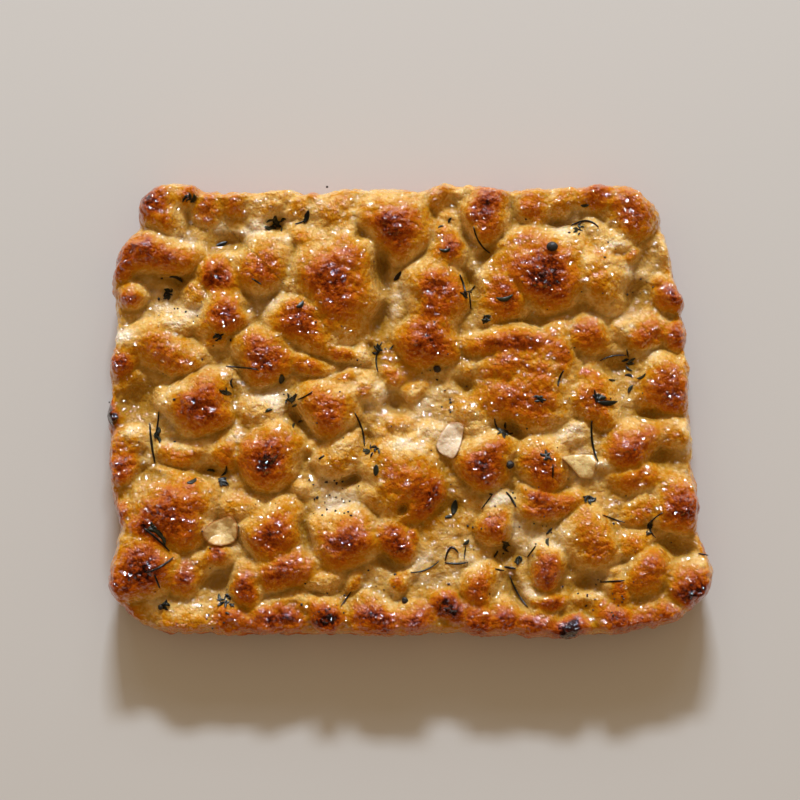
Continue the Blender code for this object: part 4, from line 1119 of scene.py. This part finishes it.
class FOCACCIA_OT_stage(bpy.types.Operator):
    """Set the camera, the window light, the room light and the plain floor"""

    bl_idname = "focaccia.stage"
    bl_label = "Set Stage"

    def execute(self, context):
        stage = context.scene.stage_settings
        set_floor(stage)
        set_light(context.scene, stage)
        set_camera(context.scene, stage)
        return {"FINISHED"}


FLOOR_HALF, FLOOR_DROP = 4.0, 0.0002  # half the floor's width, and how far it lies under the loaf
PANE_GAP = 0.1                        # how far the bright pane stands in front of the window
CAMERA_AIM = (-0.0045, 0.0042, 0.028)


def set_floor(stage):
    """A plain pale floor, 8 m wide, just under the loaf."""
    mesh = bpy.data.meshes.new("floor")
    half = FLOOR_HALF
    corners = [(x, y, -FLOOR_DROP) for x, y in ((-half, -half), (half, -half), (half, half), (-half, half))]
    mesh.from_pydata(corners, [], [(0, 1, 2, 3)])
    graph = Graph("floor")
    mesh.materials.append(graph.finish(Base_Color=opaque(stage.floor_colour), Roughness=0.85))
    floor = bpy.data.objects.new("floor", mesh)
    bpy.context.scene.collection.objects.link(floor)


def set_light(scene, stage):
    """A broad window behind the loaf with a brighter pane in front of it, and a warm room all round."""
    facing = (-(math.pi / 2 - stage.light_elevation), 0, 0)
    lights = (
        ("window", stage.window_width, stage.window_height, stage.window_strength, stage.window_distance),
        ("pane", stage.pane_width, stage.pane_height, stage.pane_strength, stage.window_distance - PANE_GAP))
    for name, width, height, strength, distance in lights:
        light = bpy.data.lights.new(name, "AREA")
        light.shape = "RECTANGLE"
        light.size, light.size_y = width, height
        light.energy = strength * math.pi * distance**2
        light.color = stage.light_colour
        lamp = bpy.data.objects.new(name, light)
        lamp.location = (0, math.cos(stage.light_elevation) * distance,
                         math.sin(stage.light_elevation) * distance)
        lamp.rotation_euler = facing
        lamp.visible_camera = False
        scene.collection.objects.link(lamp)
    world = bpy.data.worlds.new("room")
    world.use_nodes = True
    backdrop = world.node_tree.nodes["Background"]
    backdrop.inputs["Color"].default_value = opaque(stage.room_colour)
    world.cycles_visibility.glossy = False
    scene.world = world
    scene.view_settings.view_transform = "Standard"


def set_camera(scene, stage):
    """Nearly straight down, leaning a little towards the front edge, aimed near the loaf's middle."""
    data = bpy.data.cameras.new("camera")
    data.lens = stage.lens
    camera = bpy.data.objects.new("camera", data)
    aim = np.array(CAMERA_AIM)
    back = np.array([0, -math.cos(stage.elevation), math.sin(stage.elevation)])
    camera.location = aim + back * stage.distance
    camera.rotation_euler = (math.pi / 2 - stage.elevation, 0, 0)
    scene.collection.objects.link(camera)
    scene.camera = camera


class FOCACCIA_PT_panel(bpy.types.Panel):
    """The pieces and their settings"""

    bl_idname = "FOCACCIA_PT_panel"
    bl_label = "Focaccia"
    bl_space_type = "VIEW_3D"
    bl_region_type = "UI"
    bl_category = "Focaccia"

    def draw(self, context):
        for group in (context.scene.loaf_settings, context.scene.topping_settings,
                      context.scene.stage_settings):
            box = self.layout.box()
            for key in group.__annotations__:
                box.prop(group, key)
        for step in STEPS:
            self.layout.operator("focaccia." + step)


STEPS = ("crust", "garlic", "herbs", "pepper", "stage")
CLASSES = (LoafSettings, ToppingSettings, StageSettings, FOCACCIA_OT_crust, FOCACCIA_OT_garlic,
           FOCACCIA_OT_herbs, FOCACCIA_OT_pepper, FOCACCIA_OT_stage, FOCACCIA_PT_panel)


def register():
    for cls in CLASSES:
        bpy.utils.register_class(cls)
    bpy.types.Scene.loaf_settings = PointerProperty(type=LoafSettings)
    bpy.types.Scene.topping_settings = PointerProperty(type=ToppingSettings)
    bpy.types.Scene.stage_settings = PointerProperty(type=StageSettings)


def unregister():
    del bpy.types.Scene.stage_settings
    del bpy.types.Scene.topping_settings
    del bpy.types.Scene.loaf_settings
    for cls in reversed(CLASSES):
        bpy.utils.unregister_class(cls)


def main():
    register()
    bpy.ops.focaccia.crust()
    bpy.ops.focaccia.garlic()
    bpy.ops.focaccia.herbs()
    bpy.ops.focaccia.pepper()
    bpy.ops.focaccia.stage()


if __name__ == "__main__":
    main()
